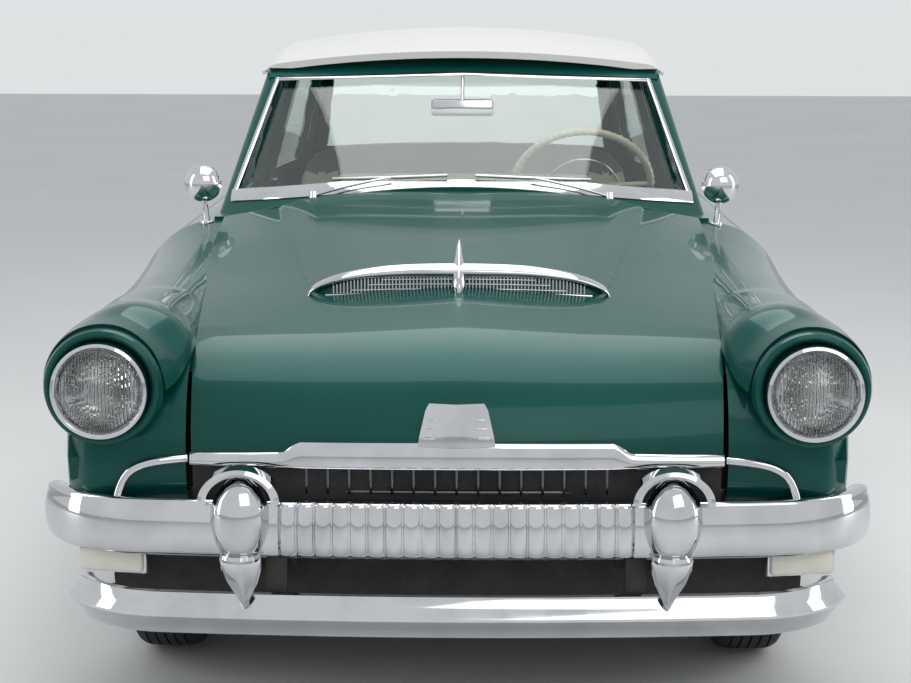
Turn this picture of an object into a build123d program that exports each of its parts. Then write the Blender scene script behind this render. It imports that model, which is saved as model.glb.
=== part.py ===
from build123d import *
import os

# Mid-1950s four-door saloon car, full size, in millimetres.
# It faces -Y and stands on Z = 0. Its own left side, with the driver, is +X.
# X = 0 is the middle of the car, Y = 0 the middle of its length.

os.makedirs("parts", exist_ok=True)

# Driving dimensions of the whole car
length = 5136
half_width = 932
height = 1578
wheelbase = 2997
front_overhang = 860
half_track_front = 739
half_track_rear = 716
bumper_reach = 140

# Wheels
tyre_radius = 355
rim_radius = 200
kingpin_inset = 60

# Body heights and walls
sill_z = 290
belt_z = 1035
header_z = 1460
skin = 30
door_wall = 70
glass = 6
rail = 35

# Gaps between panels, and between a piece and its seat
panel_gap = 6
frame_gap = 12
seat_gap = 0.3

# Places along the car
front_y = -length / 2
rear_y = length / 2
front_axle_y = front_y + front_overhang
rear_axle_y = front_axle_y + wheelbase
nose_y = front_y + bumper_reach
tail_y = rear_y - bumper_reach
cowl_y = front_axle_y + 608
door_length = 1080
post_y = cowl_y + door_length
rear_door_length = 1000
rear_door_y = post_y + rear_door_length

# Wheel arches: radius and height of their centres
front_arch_radius = 385
front_arch_z = tyre_radius
rear_arch_radius = 372
rear_arch_z = 270

# Lamps
lamp_x = 783
lamp_z = 818
lamp_radius = 92
bezel_radius = 107


def save(piece, name):
    """Label one finished piece and write its file."""
    piece.part.label = name
    export_step(piece.part, f"parts/{name}.step")


# Seams in plan: half width of hood and trunk lid at each end
hood_seam_front = 600
hood_seam_rear = 680
lid_seam_front = 696
lid_seam_rear = 612
lid_start_y = rear_door_y + 420


def hood_seam(y):
    """Half width of the hood opening at y."""
    return hood_seam_front + (hood_seam_rear - hood_seam_front) * (y - nose_y) / (cowl_y - nose_y)


def lid_seam(y):
    """Half width of the trunk opening at y."""
    return lid_seam_rear + (lid_seam_front - lid_seam_rear) * (tail_y - y) / (tail_y - lid_start_y)


# Side wall of the body at its stations, nose to tail, as insets from half_width. Its upper
# edge runs trim past the seams of hood and trunk lid, where the panels are cut back to them.
# columns: y, sill inset, sill z, widest inset, widest z, hip inset, hip z, edge x, edge z
trim = 8
haunch_y = rear_axle_y + 411
cowl_station = (cowl_y, 47, sill_z - 15, 0, 640, 14, 850, hood_seam_rear - trim, 1046)
door_station = (post_y, 47, sill_z - 15, 0, 640, 14, 850, 708, belt_z + 7)
front_stations = [
    (nose_y, 112, sill_z + 110, 66, 600, 48, 812, hood_seam(nose_y) - trim, 872),
    (nose_y + 228, 82, sill_z + 40, 44, 610, 37, 808, hood_seam(nose_y + 228) - trim, 905),
    (front_axle_y, 52, sill_z, 14, 620, 20, 800, hood_seam(front_axle_y) - trim, 962),
    cowl_station,
]
rear_stations = [
    (rear_door_y, 47, sill_z - 15, 0, 640, 14, 850, lid_seam(rear_door_y) - trim, belt_z),
    (haunch_y, 62, sill_z + 10, 6, 640, 26, 830, lid_seam(haunch_y) - trim, 985),
    (tail_y, 102, sill_z + 110, 52, 640, 64, 780, lid_seam_rear - trim, 860),
]


def wall_section(station, outer, inner):
    """Cross section of the left side wall between two depths under its outer face."""
    y, sill_in, low_z, wide_in, wide_z, hip_in, hip_z, edge_x, edge_z = station
    sill_x = half_width - sill_in
    wide_x = half_width - wide_in
    hip_x = half_width - hip_in
    with BuildSketch(Plane.XZ.offset(-y)) as section:
        with BuildLine():
            for depth in (outer, inner):
                start = (wide_x - depth, wide_z)
                hip = (hip_x - depth, hip_z)
                TangentArc(start, (sill_x - depth, low_z), tangent=(0, -1))
                upper = TangentArc(start, hip, tangent=(0, 1))
                TangentArc(hip, (edge_x, edge_z - depth), tangent=upper % 1)
            Line((edge_x, edge_z - outer), (edge_x, edge_z - inner))
            Line((sill_x - inner, low_z), (sill_x - outer, low_z))
        make_face()
    return section.sketch


def side_wall(stations):
    """Left side wall of one end of the body, as thick as its skin."""
    with BuildPart() as blank:
        loft([wall_section(station, 0, skin) for station in stations])
    return blank.part


# Glasshouse in plan: the same points at the belt and at the header
# columns: z, front middle y, front corner x, y, side x, rear corner x, y, rear middle y
house_levels = [
    (belt_z, cowl_y - 237, 710, cowl_y + 75, 737, 648, rear_door_y + 202, rear_door_y + 447),
    (header_z, cowl_y + 445, 600, cowl_y + 525, 612, 560, rear_door_y - 140, rear_door_y - 50),
]
house_corner = 45
least_corner = 12


def house_outline(z, inset):
    """Outline of the cabin in plan at z, drawn in by inset."""
    low, high = house_levels
    share = (z - belt_z) / (header_z - belt_z)
    level = [a + (b - a) * share for a, b in zip(low, high)]
    z, mid_front, front_x, front_corner, side_x, rear_x, rear_corner, mid_rear = level
    side = side_x - inset
    front = (front_x - inset, front_corner + inset)
    rear = (rear_x - inset, rear_corner - inset)
    front_right = (-front[0], front[1])
    rear_right = (-rear[0], rear[1])
    with BuildSketch(Plane.XY.offset(z)) as outline:
        with BuildLine():
            ThreePointArc(front_right, (0, mid_front + inset), front)
            ThreePointArc(front, (side, post_y), rear)
            ThreePointArc(rear, (0, mid_rear - inset), rear_right)
            ThreePointArc(rear_right, (-side, post_y), front_right)
        make_face()
        fillet(outline.vertices(), max(house_corner - inset, least_corner))
    return outline.sketch


def glasshouse(inset, reach=0):
    """Cabin above the belt as a solid, its outline drawn in by inset, reaching past both ends."""
    with BuildPart() as blank:
        loft([house_outline(z, inset) for z in (belt_z - reach, header_z + reach)], ruled=True)
    return blank.part


def side_prism(points, low_x=300, high_x=1000):
    """Prism along X from a closed side-view outline, over the left half of the car."""
    with BuildPart() as blank:
        with BuildSketch(Plane.YZ.offset(low_x)):
            with BuildLine():
                Polyline(*points, close=True)
            make_face()
        extrude(amount=high_x - low_x)
    return blank.part


def side_round(y, z, radius, low_x=300, high_x=1000):
    """Round bar along X, such as the space of a wheel arch."""
    with BuildPart() as blank:
        with BuildSketch(Plane.YZ.offset(low_x)):
            with Locations((y, z)):
                Circle(radius)
        extrude(amount=high_x - low_x)
    return blank.part


# Hood and trunk lid from their side views: one row for each width
# columns: x, rear y, rear z, middle y, middle z, front y, front z, lip y, lip z
hood_lip_z = 655
hood_rows = [
    (0, cowl_y - 50, 1128, cowl_y - 600, 1012, nose_y + 190, 892, nose_y - 24, hood_lip_z),
    (350, cowl_y - 50, 1108, cowl_y - 600, 998, nose_y + 190, 890, nose_y - 18, hood_lip_z),
    (720, cowl_y - 50, 1040, cowl_y - 600, 955, nose_y + 190, 880, nose_y + 30, hood_lip_z),
]
# columns: x, front y, front z, middle y, middle z, rear y, rear z, lip y, lip z
lid_lip_z = 600
lid_rows = [
    (-720, lid_start_y, 1018, lid_start_y + 500, 968, tail_y - 130, 868, tail_y - 5, lid_lip_z),
    (0, lid_start_y, 1085, lid_start_y + 500, 1040, tail_y - 130, 925, tail_y + 10, lid_lip_z),
    (720, lid_start_y, 1018, lid_start_y + 500, 968, tail_y - 130, 868, tail_y - 5, lid_lip_z),
]


def lid_shell(rows, wall):
    """Lid of one wall thickness, lofted through its side views."""
    with BuildPart() as blank:
        for x, far_y, far_z, mid_y, mid_z, near_y, near_z, lip_y, lip_z in rows:
            inner_y = lip_y + (wall if lip_y < near_y else -wall)
            low_z = near_z - wall
            with BuildSketch(Plane.YZ.offset(x)):
                with BuildLine():
                    top = ThreePointArc((far_y, far_z), (mid_y, mid_z), (near_y, near_z))
                    TangentArc((near_y, near_z), (lip_y, lip_z), tangent=top % 1)
                    Line((lip_y, lip_z), (inner_y, lip_z))
                    under = ThreePointArc((far_y, far_z - wall), (mid_y, mid_z - wall), (near_y, low_z))
                    TangentArc((near_y, low_z), (inner_y, lip_z), tangent=under % 1)
                    Line((far_y, far_z - wall), (far_y, far_z))
                make_face()
        loft()
    return blank.part


# Hood, with a raised middle behind the air scoop's mouth
scoop_y = front_axle_y - 232
scoop_half = 361
hood_half = lid_shell(hood_rows, skin)
with BuildPart() as hood_raise:
    # columns: y, half width, edge z, middle z
    for y, half, edge_z, crown_z in [
        (scoop_y, scoop_half, 940, 1022),
        (cowl_y - 500, 440, 1000, 1072),
        (cowl_y - 55, 540, 1065, 1150),
    ]:
        with BuildSketch(Plane.XZ.offset(-y)):
            with BuildLine():
                ThreePointArc((-half, edge_z), (0, crown_z), (half, edge_z))
                Line((half, edge_z), (half - 40, edge_z - 5))
                ThreePointArc(
                    (half - 40, edge_z - 5), (0, crown_z - skin), (40 - half, edge_z - 5)
                )
                Line((40 - half, edge_z - 5), (-half, edge_z))
            make_face()
    loft()
hood_end_y = cowl_y - 22
hood_end_middle_y = cowl_y - 95


def hood_opening(gap):
    """Space over the engine bay in plan, drawn in by gap."""
    front = nose_y - 60
    half_front = hood_seam(front) - gap
    half_rear = hood_seam(hood_end_y) - gap
    end = hood_end_y - gap
    with BuildPart() as blank:
        with BuildSketch():
            with BuildLine():
                Polyline((half_rear, end), (half_front, front), (-half_front, front), (-half_rear, end))
                ThreePointArc((-half_rear, end), (0, hood_end_middle_y - gap), (half_rear, end))
            make_face()
        extrude(amount=height)
    return blank.part


def lid_opening(gap):
    """Space over the trunk in plan, drawn in by gap."""
    half_front = lid_seam(lid_start_y) - gap
    half_rear = lid_seam(tail_y + 60) - gap
    with BuildPart() as blank:
        with BuildSketch():
            with BuildLine():
                Polyline(
                    (half_front, lid_start_y + gap),
                    (-half_front, lid_start_y + gap),
                    (-half_rear, tail_y + 60),
                    (half_rear, tail_y + 60),
                    close=True,
                )
            make_face()
        extrude(amount=height)
    return blank.part


with BuildPart() as hood:
    add(hood_half)
    mirror(hood_half, about=Plane.YZ)
    add(hood_raise.part)
    add(hood_opening(panel_gap), mode=Mode.INTERSECT)
save(hood, "hood")

# Trunk lid
with BuildPart() as trunk_lid:
    add(lid_shell(lid_rows, skin))
    add(lid_opening(panel_gap), mode=Mode.INTERSECT)
save(trunk_lid, "trunk_lid")


def slab(low, high):
    """Flat-sided block between two corners."""
    with BuildPart() as blank:
        with Locations(low):
            Box(*[b - a for a, b in zip(low, high)], align=Align.MIN)
    return blank.part


# Front fender: skin with its lamp pod, and a flange that bolts to the door post
pod_x = 778
pod_z = 830
pod_radius = 128
flange_x = 740
flange_depth = 50
fender_end_y = cowl_y - panel_gap
nose_profile = [
    (fender_end_y, 200),
    (fender_end_y, height),
    (nose_y + 120, height),
    (nose_y + 120, 750),
    (nose_y + 12, 655),
    (nose_y + 30, 600),
    (nose_y + 140, 560),
    (nose_y + 140, 380),
]
with BuildPart() as fender_left:
    add(side_wall(front_stations))
    add(side_prism(nose_profile), mode=Mode.INTERSECT)
    extrude(wall_section(cowl_station, skin / 2, flange_depth), amount=18, dir=(0, -1, 0))
    add(slab((flange_x, fender_end_y - 12, 420), (870, fender_end_y, 800)))
    add(slab((300, fender_end_y, 0), (1000, post_y, height)), mode=Mode.SUBTRACT)
    with BuildSketch(Plane.XZ.offset(-(nose_y + 160))):
        with Locations((pod_x, pod_z)):
            Circle(pod_radius)
    extrude(amount=180)
    add(side_round(front_axle_y, front_arch_z, front_arch_radius), mode=Mode.SUBTRACT)
    add(hood_opening(0), mode=Mode.SUBTRACT)
save(fender_left, "front_fender_left")
with BuildPart() as fender_right:
    mirror(fender_left.part, about=Plane.YZ)
save(fender_right, "front_fender_right")

# Doors: a hollow-looking wall below the belt and a window frame above it
window_low = belt_z + 38
window_high = header_z - 62
arch_clear = 105
pillar_x = 706
pillar_y = cowl_y + 140
door_low_z = sill_z + 60
door_high_z = header_z - 35
front_door_end = post_y - panel_gap / 2
rear_door_start = post_y + panel_gap / 2
front_frame_top = cowl_y + 560
front_frame_end = post_y - 56
rear_frame_top = rear_door_y - 160
rear_frame_low = rear_door_y - 30
shut_face_x = 890
shut_face_cut = 56

# columns: name, outline below the belt, outline of the window frame, outline of the glass
door_rows = [
    (
        "door_front",
        [
            (cowl_y, door_low_z),
            (front_door_end, door_low_z),
            (front_door_end, height),
            (cowl_y, height),
        ],
        [
            (cowl_y + 120, belt_z - 40),
            (front_frame_end, belt_z - 40),
            (front_frame_end, door_high_z),
            (front_frame_top, door_high_z),
        ],
        [
            (cowl_y + 195, window_low),
            (front_frame_end - 28, window_low),
            (front_frame_end - 28, window_high),
            (front_frame_top + 30, window_high),
        ],
    ),
    (
        "door_rear",
        [
            (rear_door_start, door_low_z),
            (rear_door_y, door_low_z),
            (rear_door_y, height),
            (rear_door_start, height),
        ],
        [
            (post_y + frame_gap / 2, belt_z - 40),
            (rear_frame_low, belt_z - 40),
            (rear_frame_top, door_high_z),
            (post_y + frame_gap / 2, door_high_z),
        ],
        [
            (post_y + 34, window_low),
            (rear_frame_low - 58, window_low),
            (rear_frame_top - 42, window_high),
            (post_y + 34, window_high),
        ],
    ),
]


def shut_face(end_y):
    """Wedge cut from a door's rear end, so that its inner edge clears the next panel as it swings."""
    with BuildPart() as blank:
        with BuildSketch():
            with BuildLine():
                Polyline(
                    (shut_face_x, end_y),
                    (300, end_y - shut_face_cut * (shut_face_x - 300) / (shut_face_x - 600)),
                    (300, end_y + 10),
                    (shut_face_x, end_y + 10),
                    close=True,
                )
            make_face()
        extrude(amount=height)
    return blank.part


with BuildPart() as thick_wall:
    extrude(wall_section(door_station, 0, door_wall), amount=door_length, both=True)
house_wall = glasshouse(0)
house_hollow = glasshouse(rail, 10)
glass_outer = glasshouse(rail / 2)
glass_inner = glasshouse(rail / 2 + glass, 10)

for door_name, lower, upper, window in door_rows:
    with BuildPart() as door_frame:
        add(house_wall)
        add(house_hollow, mode=Mode.SUBTRACT)
        add(side_prism(upper), mode=Mode.INTERSECT)
        add(side_prism(window), mode=Mode.SUBTRACT)
    with BuildPart() as door:
        add(thick_wall.part)
        add(side_prism(lower), mode=Mode.INTERSECT)
        add(
            side_round(rear_axle_y, rear_arch_z, rear_arch_radius + arch_clear),
            mode=Mode.SUBTRACT,
        )
        add(
            slab((300, cowl_y - 1, 900), (pillar_x + panel_gap, pillar_y + 10, height)),
            mode=Mode.SUBTRACT,
        )
        add(shut_face(lower[1][0]), mode=Mode.SUBTRACT)
        add(door_frame.part)
    save(door, f"{door_name}_left")
    with BuildPart() as door_right:
        mirror(door.part, about=Plane.YZ)
    save(door_right, f"{door_name}_right")
    with BuildPart() as pane:
        add(glass_outer)
        add(glass_inner, mode=Mode.SUBTRACT)
        with BuildSketch(Plane.YZ.offset(300)):
            with BuildLine():
                Polyline(*window, close=True)
            make_face()
            offset(amount=-seat_gap, kind=Kind.INTERSECTION, mode=Mode.REPLACE)
        extrude(amount=700, mode=Mode.INTERSECT)
    save(pane, f"{door_name}_glass_left")
    with BuildPart() as pane_right:
        mirror(pane.part, about=Plane.YZ)
    save(pane_right, f"{door_name}_glass_right")

# Quarter panels: the side behind the doors, with the rear arch and inner flanges
inner_x = 600
quarter_y = rear_door_y + panel_gap
dogleg = side_round(rear_axle_y, rear_arch_z, rear_arch_radius + arch_clear - panel_gap)
with BuildPart() as quarter_left:
    add(dogleg)
    add(
        slab((300, quarter_y, 200), (1000, rear_y, height)),
    )
    add(slab((300, rear_axle_y - 500, 0), (1000, quarter_y, door_low_z - panel_gap)), mode=Mode.SUBTRACT)
    add(side_wall(rear_stations), mode=Mode.INTERSECT)
    add(side_round(rear_axle_y, rear_arch_z, rear_arch_radius), mode=Mode.SUBTRACT)
    add(slab((inner_x + seat_gap, quarter_y, 620), (885, quarter_y + 12, 860)))
    add(slab((300, tail_y - 140, 0), (1000, rear_y, 600)), mode=Mode.SUBTRACT)
    add(slab((inner_x + seat_gap, tail_y - 12, 602), (850, tail_y, 780)))
    add(lid_opening(0), mode=Mode.SUBTRACT)
save(quarter_left, "quarter_panel_left")
with BuildPart() as quarter_right:
    mirror(quarter_left.part, about=Plane.YZ)
save(quarter_right, "quarter_panel_right")

# Roof: one cross section swung fore and aft about a level line far below, trimmed in plan
roof_y = post_y + 120
roof_edge_x = 630
roof_turn_x = 566
roof_turn_z = 1528
roof_radius = 4700
roof_swing = 13
roof_wall = 20
roof_overhang = 16
roof_skirt = 14


def roof_dome(drop):
    """Solid under the roof's outer face, lowered by drop; heights are from the swing's axis."""
    axis_z = height - roof_radius
    turn_z = roof_turn_z - drop - axis_z
    edge_z = header_z - roof_skirt - axis_z
    low_z = edge_z - 80
    edge_x = roof_edge_x - drop
    start = Vector(0, -1, 0).rotate(Axis.X, -roof_swing)
    with BuildPart() as blank:
        with BuildSketch(Plane((0, roof_y, axis_z), x_dir=(1, 0, 0), z_dir=start)):
            with BuildLine():
                crown = ThreePointArc(
                    (roof_turn_x, turn_z), (0, roof_radius - drop), (-roof_turn_x, turn_z)
                )
                TangentArc((-roof_turn_x, turn_z), (-edge_x, edge_z), tangent=crown % 1)
                TangentArc((roof_turn_x, turn_z), (edge_x, edge_z), tangent=-(crown % 0))
                Polyline((-edge_x, edge_z), (-edge_x, low_z), (edge_x, low_z), (edge_x, edge_z))
            make_face()
        revolve(axis=Axis((0, roof_y, axis_z), (1, 0, 0)), revolution_arc=2 * roof_swing)
    return blank.part


with BuildPart() as roof:
    add(roof_dome(0))
    add(roof_dome(roof_wall), mode=Mode.SUBTRACT)
    extrude(house_outline(header_z, -roof_overhang), amount=300, mode=Mode.INTERSECT)
save(roof, "roof_panel")

# Windscreen and rear window outlines in front view
screen_outline = [
    (-660, 1116),
    (-566, 1426),
    (0, 1446),
    (566, 1426),
    (660, 1116),
    (350, 1149),
    (0, 1160),
    (-350, 1149),
]
back_outline = [(-560, 1096), (-500, 1420), (500, 1420), (560, 1096)]


def front_prism(points, low_y, high_y, inset=0):
    """Prism along Y from a closed front-view outline, drawn in by inset."""
    with BuildPart() as blank:
        with BuildSketch(Plane.XZ.offset(-high_y)):
            with BuildLine():
                Polyline(*points, close=True)
            make_face()
            if inset:
                offset(amount=-inset, kind=Kind.INTERSECTION, mode=Mode.REPLACE)
        extrude(amount=high_y - low_y)
    return blank.part


for pane_name, outline, low_y, high_y in [
    ("windshield", screen_outline, nose_y, cowl_y + 700),
    ("rear_window", back_outline, rear_door_y - 300, tail_y),
]:
    with BuildPart() as window_pane:
        add(glass_outer)
        add(glass_inner, mode=Mode.SUBTRACT)
        add(front_prism(outline, low_y, high_y, seat_gap), mode=Mode.INTERSECT)
    save(window_pane, pane_name)

# Body shell: cowl, pillars, header, sills, post walls, parcel shelf and trunk walls
floor_z = 350
shelf_z = 985
fire_y = fender_end_y + seat_gap
trunk_floor_z = 560
door_space = [
    (fire_y, belt_z - 80),
    (rear_door_y + panel_gap, belt_z - 80),
    (rear_door_y + panel_gap, belt_z + 20),
    (rear_door_y - 28, belt_z + 20),
    (rear_frame_top + 18, door_high_z + panel_gap),
    (front_frame_top - 8, door_high_z + panel_gap),
    (pillar_y, belt_z + 20),
    (fire_y, belt_z + 20),
]
# Trunk side wall in side view
trunk_wall = [
    (rear_door_y - 190, floor_z),
    (rear_door_y, floor_z),
    (rear_door_y, trunk_floor_z - 15),
    (tail_y - 60, trunk_floor_z - 15),
    (tail_y - 60, 600),
    (tail_y - 148, 790),
    (lid_start_y + 500, 890),
    (lid_start_y, 940),
    (rear_door_y + 100, shelf_z - 10),
    (rear_door_y - 190, shelf_z - 10),
]
with BuildPart() as posts:
    add(glasshouse(rail + panel_gap))
    add(glasshouse(rail + panel_gap + 28, 10), mode=Mode.SUBTRACT)
    add(slab((-1000, post_y - 45, belt_z), (1000, post_y + 45, header_z)), mode=Mode.INTERSECT)
with BuildPart() as side_frame:
    add(slab((640, fire_y, 880), (pillar_x, pillar_y, belt_z + 20)))
    add(slab((730, fire_y, sill_z), (800, rear_door_y - 180, floor_z + 60)))
    add(slab((730, post_y - 45, sill_z), (800, post_y + 45, 900)))
    for y in (post_y - 35, post_y + 15):
        add(slab((790, y, 630), (half_width - door_wall - 2 * seat_gap, y + 20, 650)))
    add(slab((640, post_y - 45, 870), (684, post_y + 45, belt_z + 30)))
    add(slab((655, post_y - 45, 870), (740, post_y + 45, 900)))
    add(side_prism(trunk_wall, inner_x - 15, inner_x))
    add(slab((inner_x - 15, rear_door_y - 190, floor_z), (800, rear_door_y - 180, floor_z + 60)))
    add(slab((inner_x - 15, rear_door_y + 30, shelf_z - 15), (640, lid_start_y - 100, belt_z + 30)))
with BuildPart() as body_frame:
    add(slab((-800, fire_y, floor_z), (800, fire_y + 30, 900)))
    add(slab((-690, fire_y, 880), (690, fire_y + 30, belt_z)))
    add(slab((-inner_x, rear_door_y, trunk_floor_z - 15), (inner_x, rear_door_y + 15, shelf_z)))
    add(slab((-640, rear_door_y, shelf_z - 15), (640, lid_start_y, shelf_z)))
    add(side_frame.part)
    mirror(side_frame.part, about=Plane.YZ)
    add(slab((-165, fire_y - 1, 0), (165, fire_y + 32, floor_z + 130)), mode=Mode.SUBTRACT)
with BuildPart() as cowl_top:
    with BuildSketch(Plane.XZ.offset(-(cowl_y + 60))):
        with BuildLine():
            ThreePointArc((-690, 1040), (0, 1150), (690, 1040))
            Line((690, 1040), (690, 1010))
            ThreePointArc((690, 1010), (0, 1120), (-690, 1010))
            Line((-690, 1010), (-690, 1040))
        make_face()
    extrude(amount=cowl_y + 60 - hood_end_middle_y)
    add(hood_opening(0), mode=Mode.SUBTRACT)
    cowl_half = hood_seam_rear - trim - panel_gap
    add(slab((-1000, nose_y, 0), (-cowl_half, fire_y, height)), mode=Mode.SUBTRACT)
    add(slab((cowl_half, nose_y, 0), (1000, fire_y, height)), mode=Mode.SUBTRACT)
with BuildPart() as deck:
    with BuildSketch(Plane.XZ.offset(-lid_start_y)):
        with BuildLine():
            ThreePointArc((-660, 1024), (0, 1085), (660, 1024))
            Line((660, 1024), (660, 980))
            ThreePointArc((660, 980), (0, 1055), (-660, 980))
            Line((-660, 980), (-660, 1024))
        make_face()
    extrude(amount=70)
with BuildPart() as body_shell:
    add(house_wall)
    add(house_hollow, mode=Mode.SUBTRACT)
    add(slab((-1000, cowl_y - 65, belt_z), (1000, lid_start_y, header_z)), mode=Mode.INTERSECT)
    add(slab((-1000, nose_y, 0), (1000, fire_y, belt_z + 27)), mode=Mode.SUBTRACT)
    add(hood_opening(0), mode=Mode.SUBTRACT)
    add(side_prism(door_space, -1000), mode=Mode.SUBTRACT)
    add(front_prism(screen_outline, nose_y, cowl_y + 700), mode=Mode.SUBTRACT)
    add(front_prism(back_outline, rear_door_y - 300, tail_y), mode=Mode.SUBTRACT)
    add(posts.part)
    add(cowl_top.part)
    add(deck.part)
    add(body_frame.part)
save(body_shell, "body_shell")

# Floor pan with its tunnel and the raised rear pan, and the trunk floor behind it
tunnel_half = 150
pan = 15
riser_y = rear_axle_y - 860
rear_pan_z = floor_z + 130
with BuildPart() as floor_pan:
    with BuildSketch(Plane.XZ.offset(-riser_y)):
        with BuildLine():
            Polyline(
                (-730 + seat_gap, floor_z - pan),
                (-tunnel_half - pan, floor_z - pan),
                (-tunnel_half - pan, floor_z + 130),
                (tunnel_half + pan, floor_z + 130),
                (tunnel_half + pan, floor_z - pan),
                (730 - seat_gap, floor_z - pan),
                (730 - seat_gap, floor_z - 2 * pan),
                (tunnel_half, floor_z - 2 * pan),
                (tunnel_half, floor_z + 130 - pan),
                (-tunnel_half, floor_z + 130 - pan),
                (-tunnel_half, floor_z - 2 * pan),
                (-730 + seat_gap, floor_z - 2 * pan),
                close=True,
            )
        make_face()
    extrude(amount=riser_y - fire_y - 31)
    add(slab((-700, riser_y, floor_z - 2 * pan), (700, riser_y + pan, rear_pan_z)))
    add(
        slab((-tunnel_half, riser_y - 1, 0), (tunnel_half, riser_y + pan + 1, rear_pan_z - pan)),
        mode=Mode.SUBTRACT,
    )
    add(
        slab(
            (15 + seat_gap - inner_x, riser_y, rear_pan_z - pan),
            (inner_x - 15 - seat_gap, rear_door_y - seat_gap, rear_pan_z),
        )
    )
    add(
        slab(
            (15 + seat_gap - inner_x, rear_door_y - pan - seat_gap, rear_pan_z - pan),
            (inner_x - 15 - seat_gap, rear_door_y - seat_gap, trunk_floor_z),
        )
    )
save(floor_pan, "floor_pan")
with BuildPart() as trunk_floor:
    add(
        slab(
            (15 + seat_gap - inner_x, rear_door_y + 15 + seat_gap, trunk_floor_z - pan),
            (inner_x - 15 - seat_gap, tail_y - 38 - seat_gap, trunk_floor_z),
        )
    )
save(trunk_floor, "trunk_floor")

# Tail panel under the trunk lid
with BuildPart() as tail_panel:
    add(slab((15 + seat_gap - inner_x, tail_y - 38, 480), (inner_x - 15 - seat_gap, tail_y + 10, 590)))
    add(slab((-40, tail_y - 38, 580), (40, tail_y + 10, lid_lip_z - seat_gap)))
save(tail_panel, "tail_panel")

# Engine, gearbox and rear springs, which the frame carries
engine_low_z = 360
engine_high_z = 860
gearbox_z = 300
spring_x = 500
spring_half = 32
spring_z = 308
spring_reach = 540

# Chassis frame: two rails kicked up over the rear axle, joined by cross members
frame_x = 400
rail_width = 80
rail_height = 115
# columns: y, underside z
rail_path = [
    (nose_y + 20, 400),
    (front_axle_y - 330, 400),
    (front_axle_y + 420, 205),
    (rear_axle_y - 430, 205),
    (rear_axle_y - 200, 425),
    (rear_axle_y + 330, 425),
    (tail_y - 60, 360),
]
with BuildPart() as rail_left:
    with BuildSketch(Plane.YZ.offset(frame_x - rail_width / 2)):
        with BuildLine():
            Polyline(
                *rail_path, *[(y, z + rail_height) for y, z in reversed(rail_path)], close=True
            )
        make_face()
    extrude(amount=rail_width)
with BuildPart() as chassis:
    add(rail_left.part)
    mirror(rail_left.part, about=Plane.YZ)
    for y, z, width in [
        (nose_y + 60, 410, 60),
        (front_axle_y + 500, 205, 90),
        (post_y, 205, 90),
        (rear_axle_y - 540, 210, 80),
        (rear_axle_y + 300, 435, 80),
        (tail_y - 110, 380, 50),
    ]:
        add(slab((-frame_x, y, z), (frame_x, y + width, z + 50)))
    add(slab((-60, front_axle_y + 510, 250), (60, front_axle_y + 570, gearbox_z - seat_gap)))
    for side in (-1, 1):
        add(
            slab(
                (side * frame_x - 30, nose_y + 10 + seat_gap, 510),
                (side * frame_x + 30, nose_y + 26, 640),
            )
        )
        low_x = min(side * frame_x, side * (spring_x + spring_half))
        high_x = max(side * frame_x, side * (spring_x + spring_half))
        front_eye_y = rear_axle_y - spring_reach - seat_gap
        rear_eye_y = rear_axle_y + spring_reach + seat_gap
        add(slab((low_x, front_eye_y - 16, 260), (high_x, front_eye_y, 330)))
        add(slab((low_x, rear_eye_y, 285), (high_x, rear_eye_y + 16, 420)))
    add(slab((-590, nose_y + 10 + seat_gap, 560), (590, nose_y + 26, 640)))
save(chassis, "chassis_frame")

# Front suspension: cross member, arms and springs; the knuckles turn at the kingpins
kingpin_x = half_track_front - kingpin_inset
kingpin_radius = 24
kingpin_low_z = 255
kingpin_high_z = 505
brake_radius = 150
with BuildPart() as suspension:
    add(slab((-360 + seat_gap, front_axle_y - 90, 230), (360 - seat_gap, front_axle_y + 90, 330)))
    for side in (-1, 1):
        # columns: x of the inner end, half width there, z of the lower face, thickness
        for inner_end, half, low_z, thick in [
            (260, 55, kingpin_low_z - seat_gap - 30, 30),
            (360, 45, kingpin_high_z + seat_gap, 26),
        ]:
            with BuildSketch(Plane.XY.offset(low_z)):
                with BuildLine():
                    Polyline(
                        (side * inner_end, front_axle_y - half),
                        (side * kingpin_x, front_axle_y - kingpin_radius),
                        (side * kingpin_x, front_axle_y + kingpin_radius),
                        (side * inner_end, front_axle_y + half),
                        close=True,
                    )
                make_face()
                with Locations((side * kingpin_x, front_axle_y)):
                    Circle(kingpin_radius)
            extrude(amount=thick)
        with Locations((side * 500, front_axle_y, 380)):
            Cylinder(52, 260)
save(suspension, "front_suspension")

knuckle_rows = [("left", 1), ("right", -1)]
for side_name, side in knuckle_rows:
    with BuildPart() as knuckle:
        with BuildSketch(Plane.XY.offset(kingpin_low_z)):
            with Locations((side * kingpin_x, front_axle_y)):
                Circle(kingpin_radius)
        extrude(amount=kingpin_high_z - kingpin_low_z)
        with BuildSketch(Plane.YZ.offset(side * kingpin_x)):
            with Locations((front_axle_y, tyre_radius)):
                Circle(22)
        extrude(amount=side * (kingpin_inset + 10 - seat_gap))
        with BuildSketch(Plane.YZ.offset(side * (kingpin_x + 35))):
            with Locations((front_axle_y, tyre_radius)):
                Circle(brake_radius)
        extrude(amount=side * 8)
    save(knuckle, f"knuckle_{side_name}")

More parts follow.
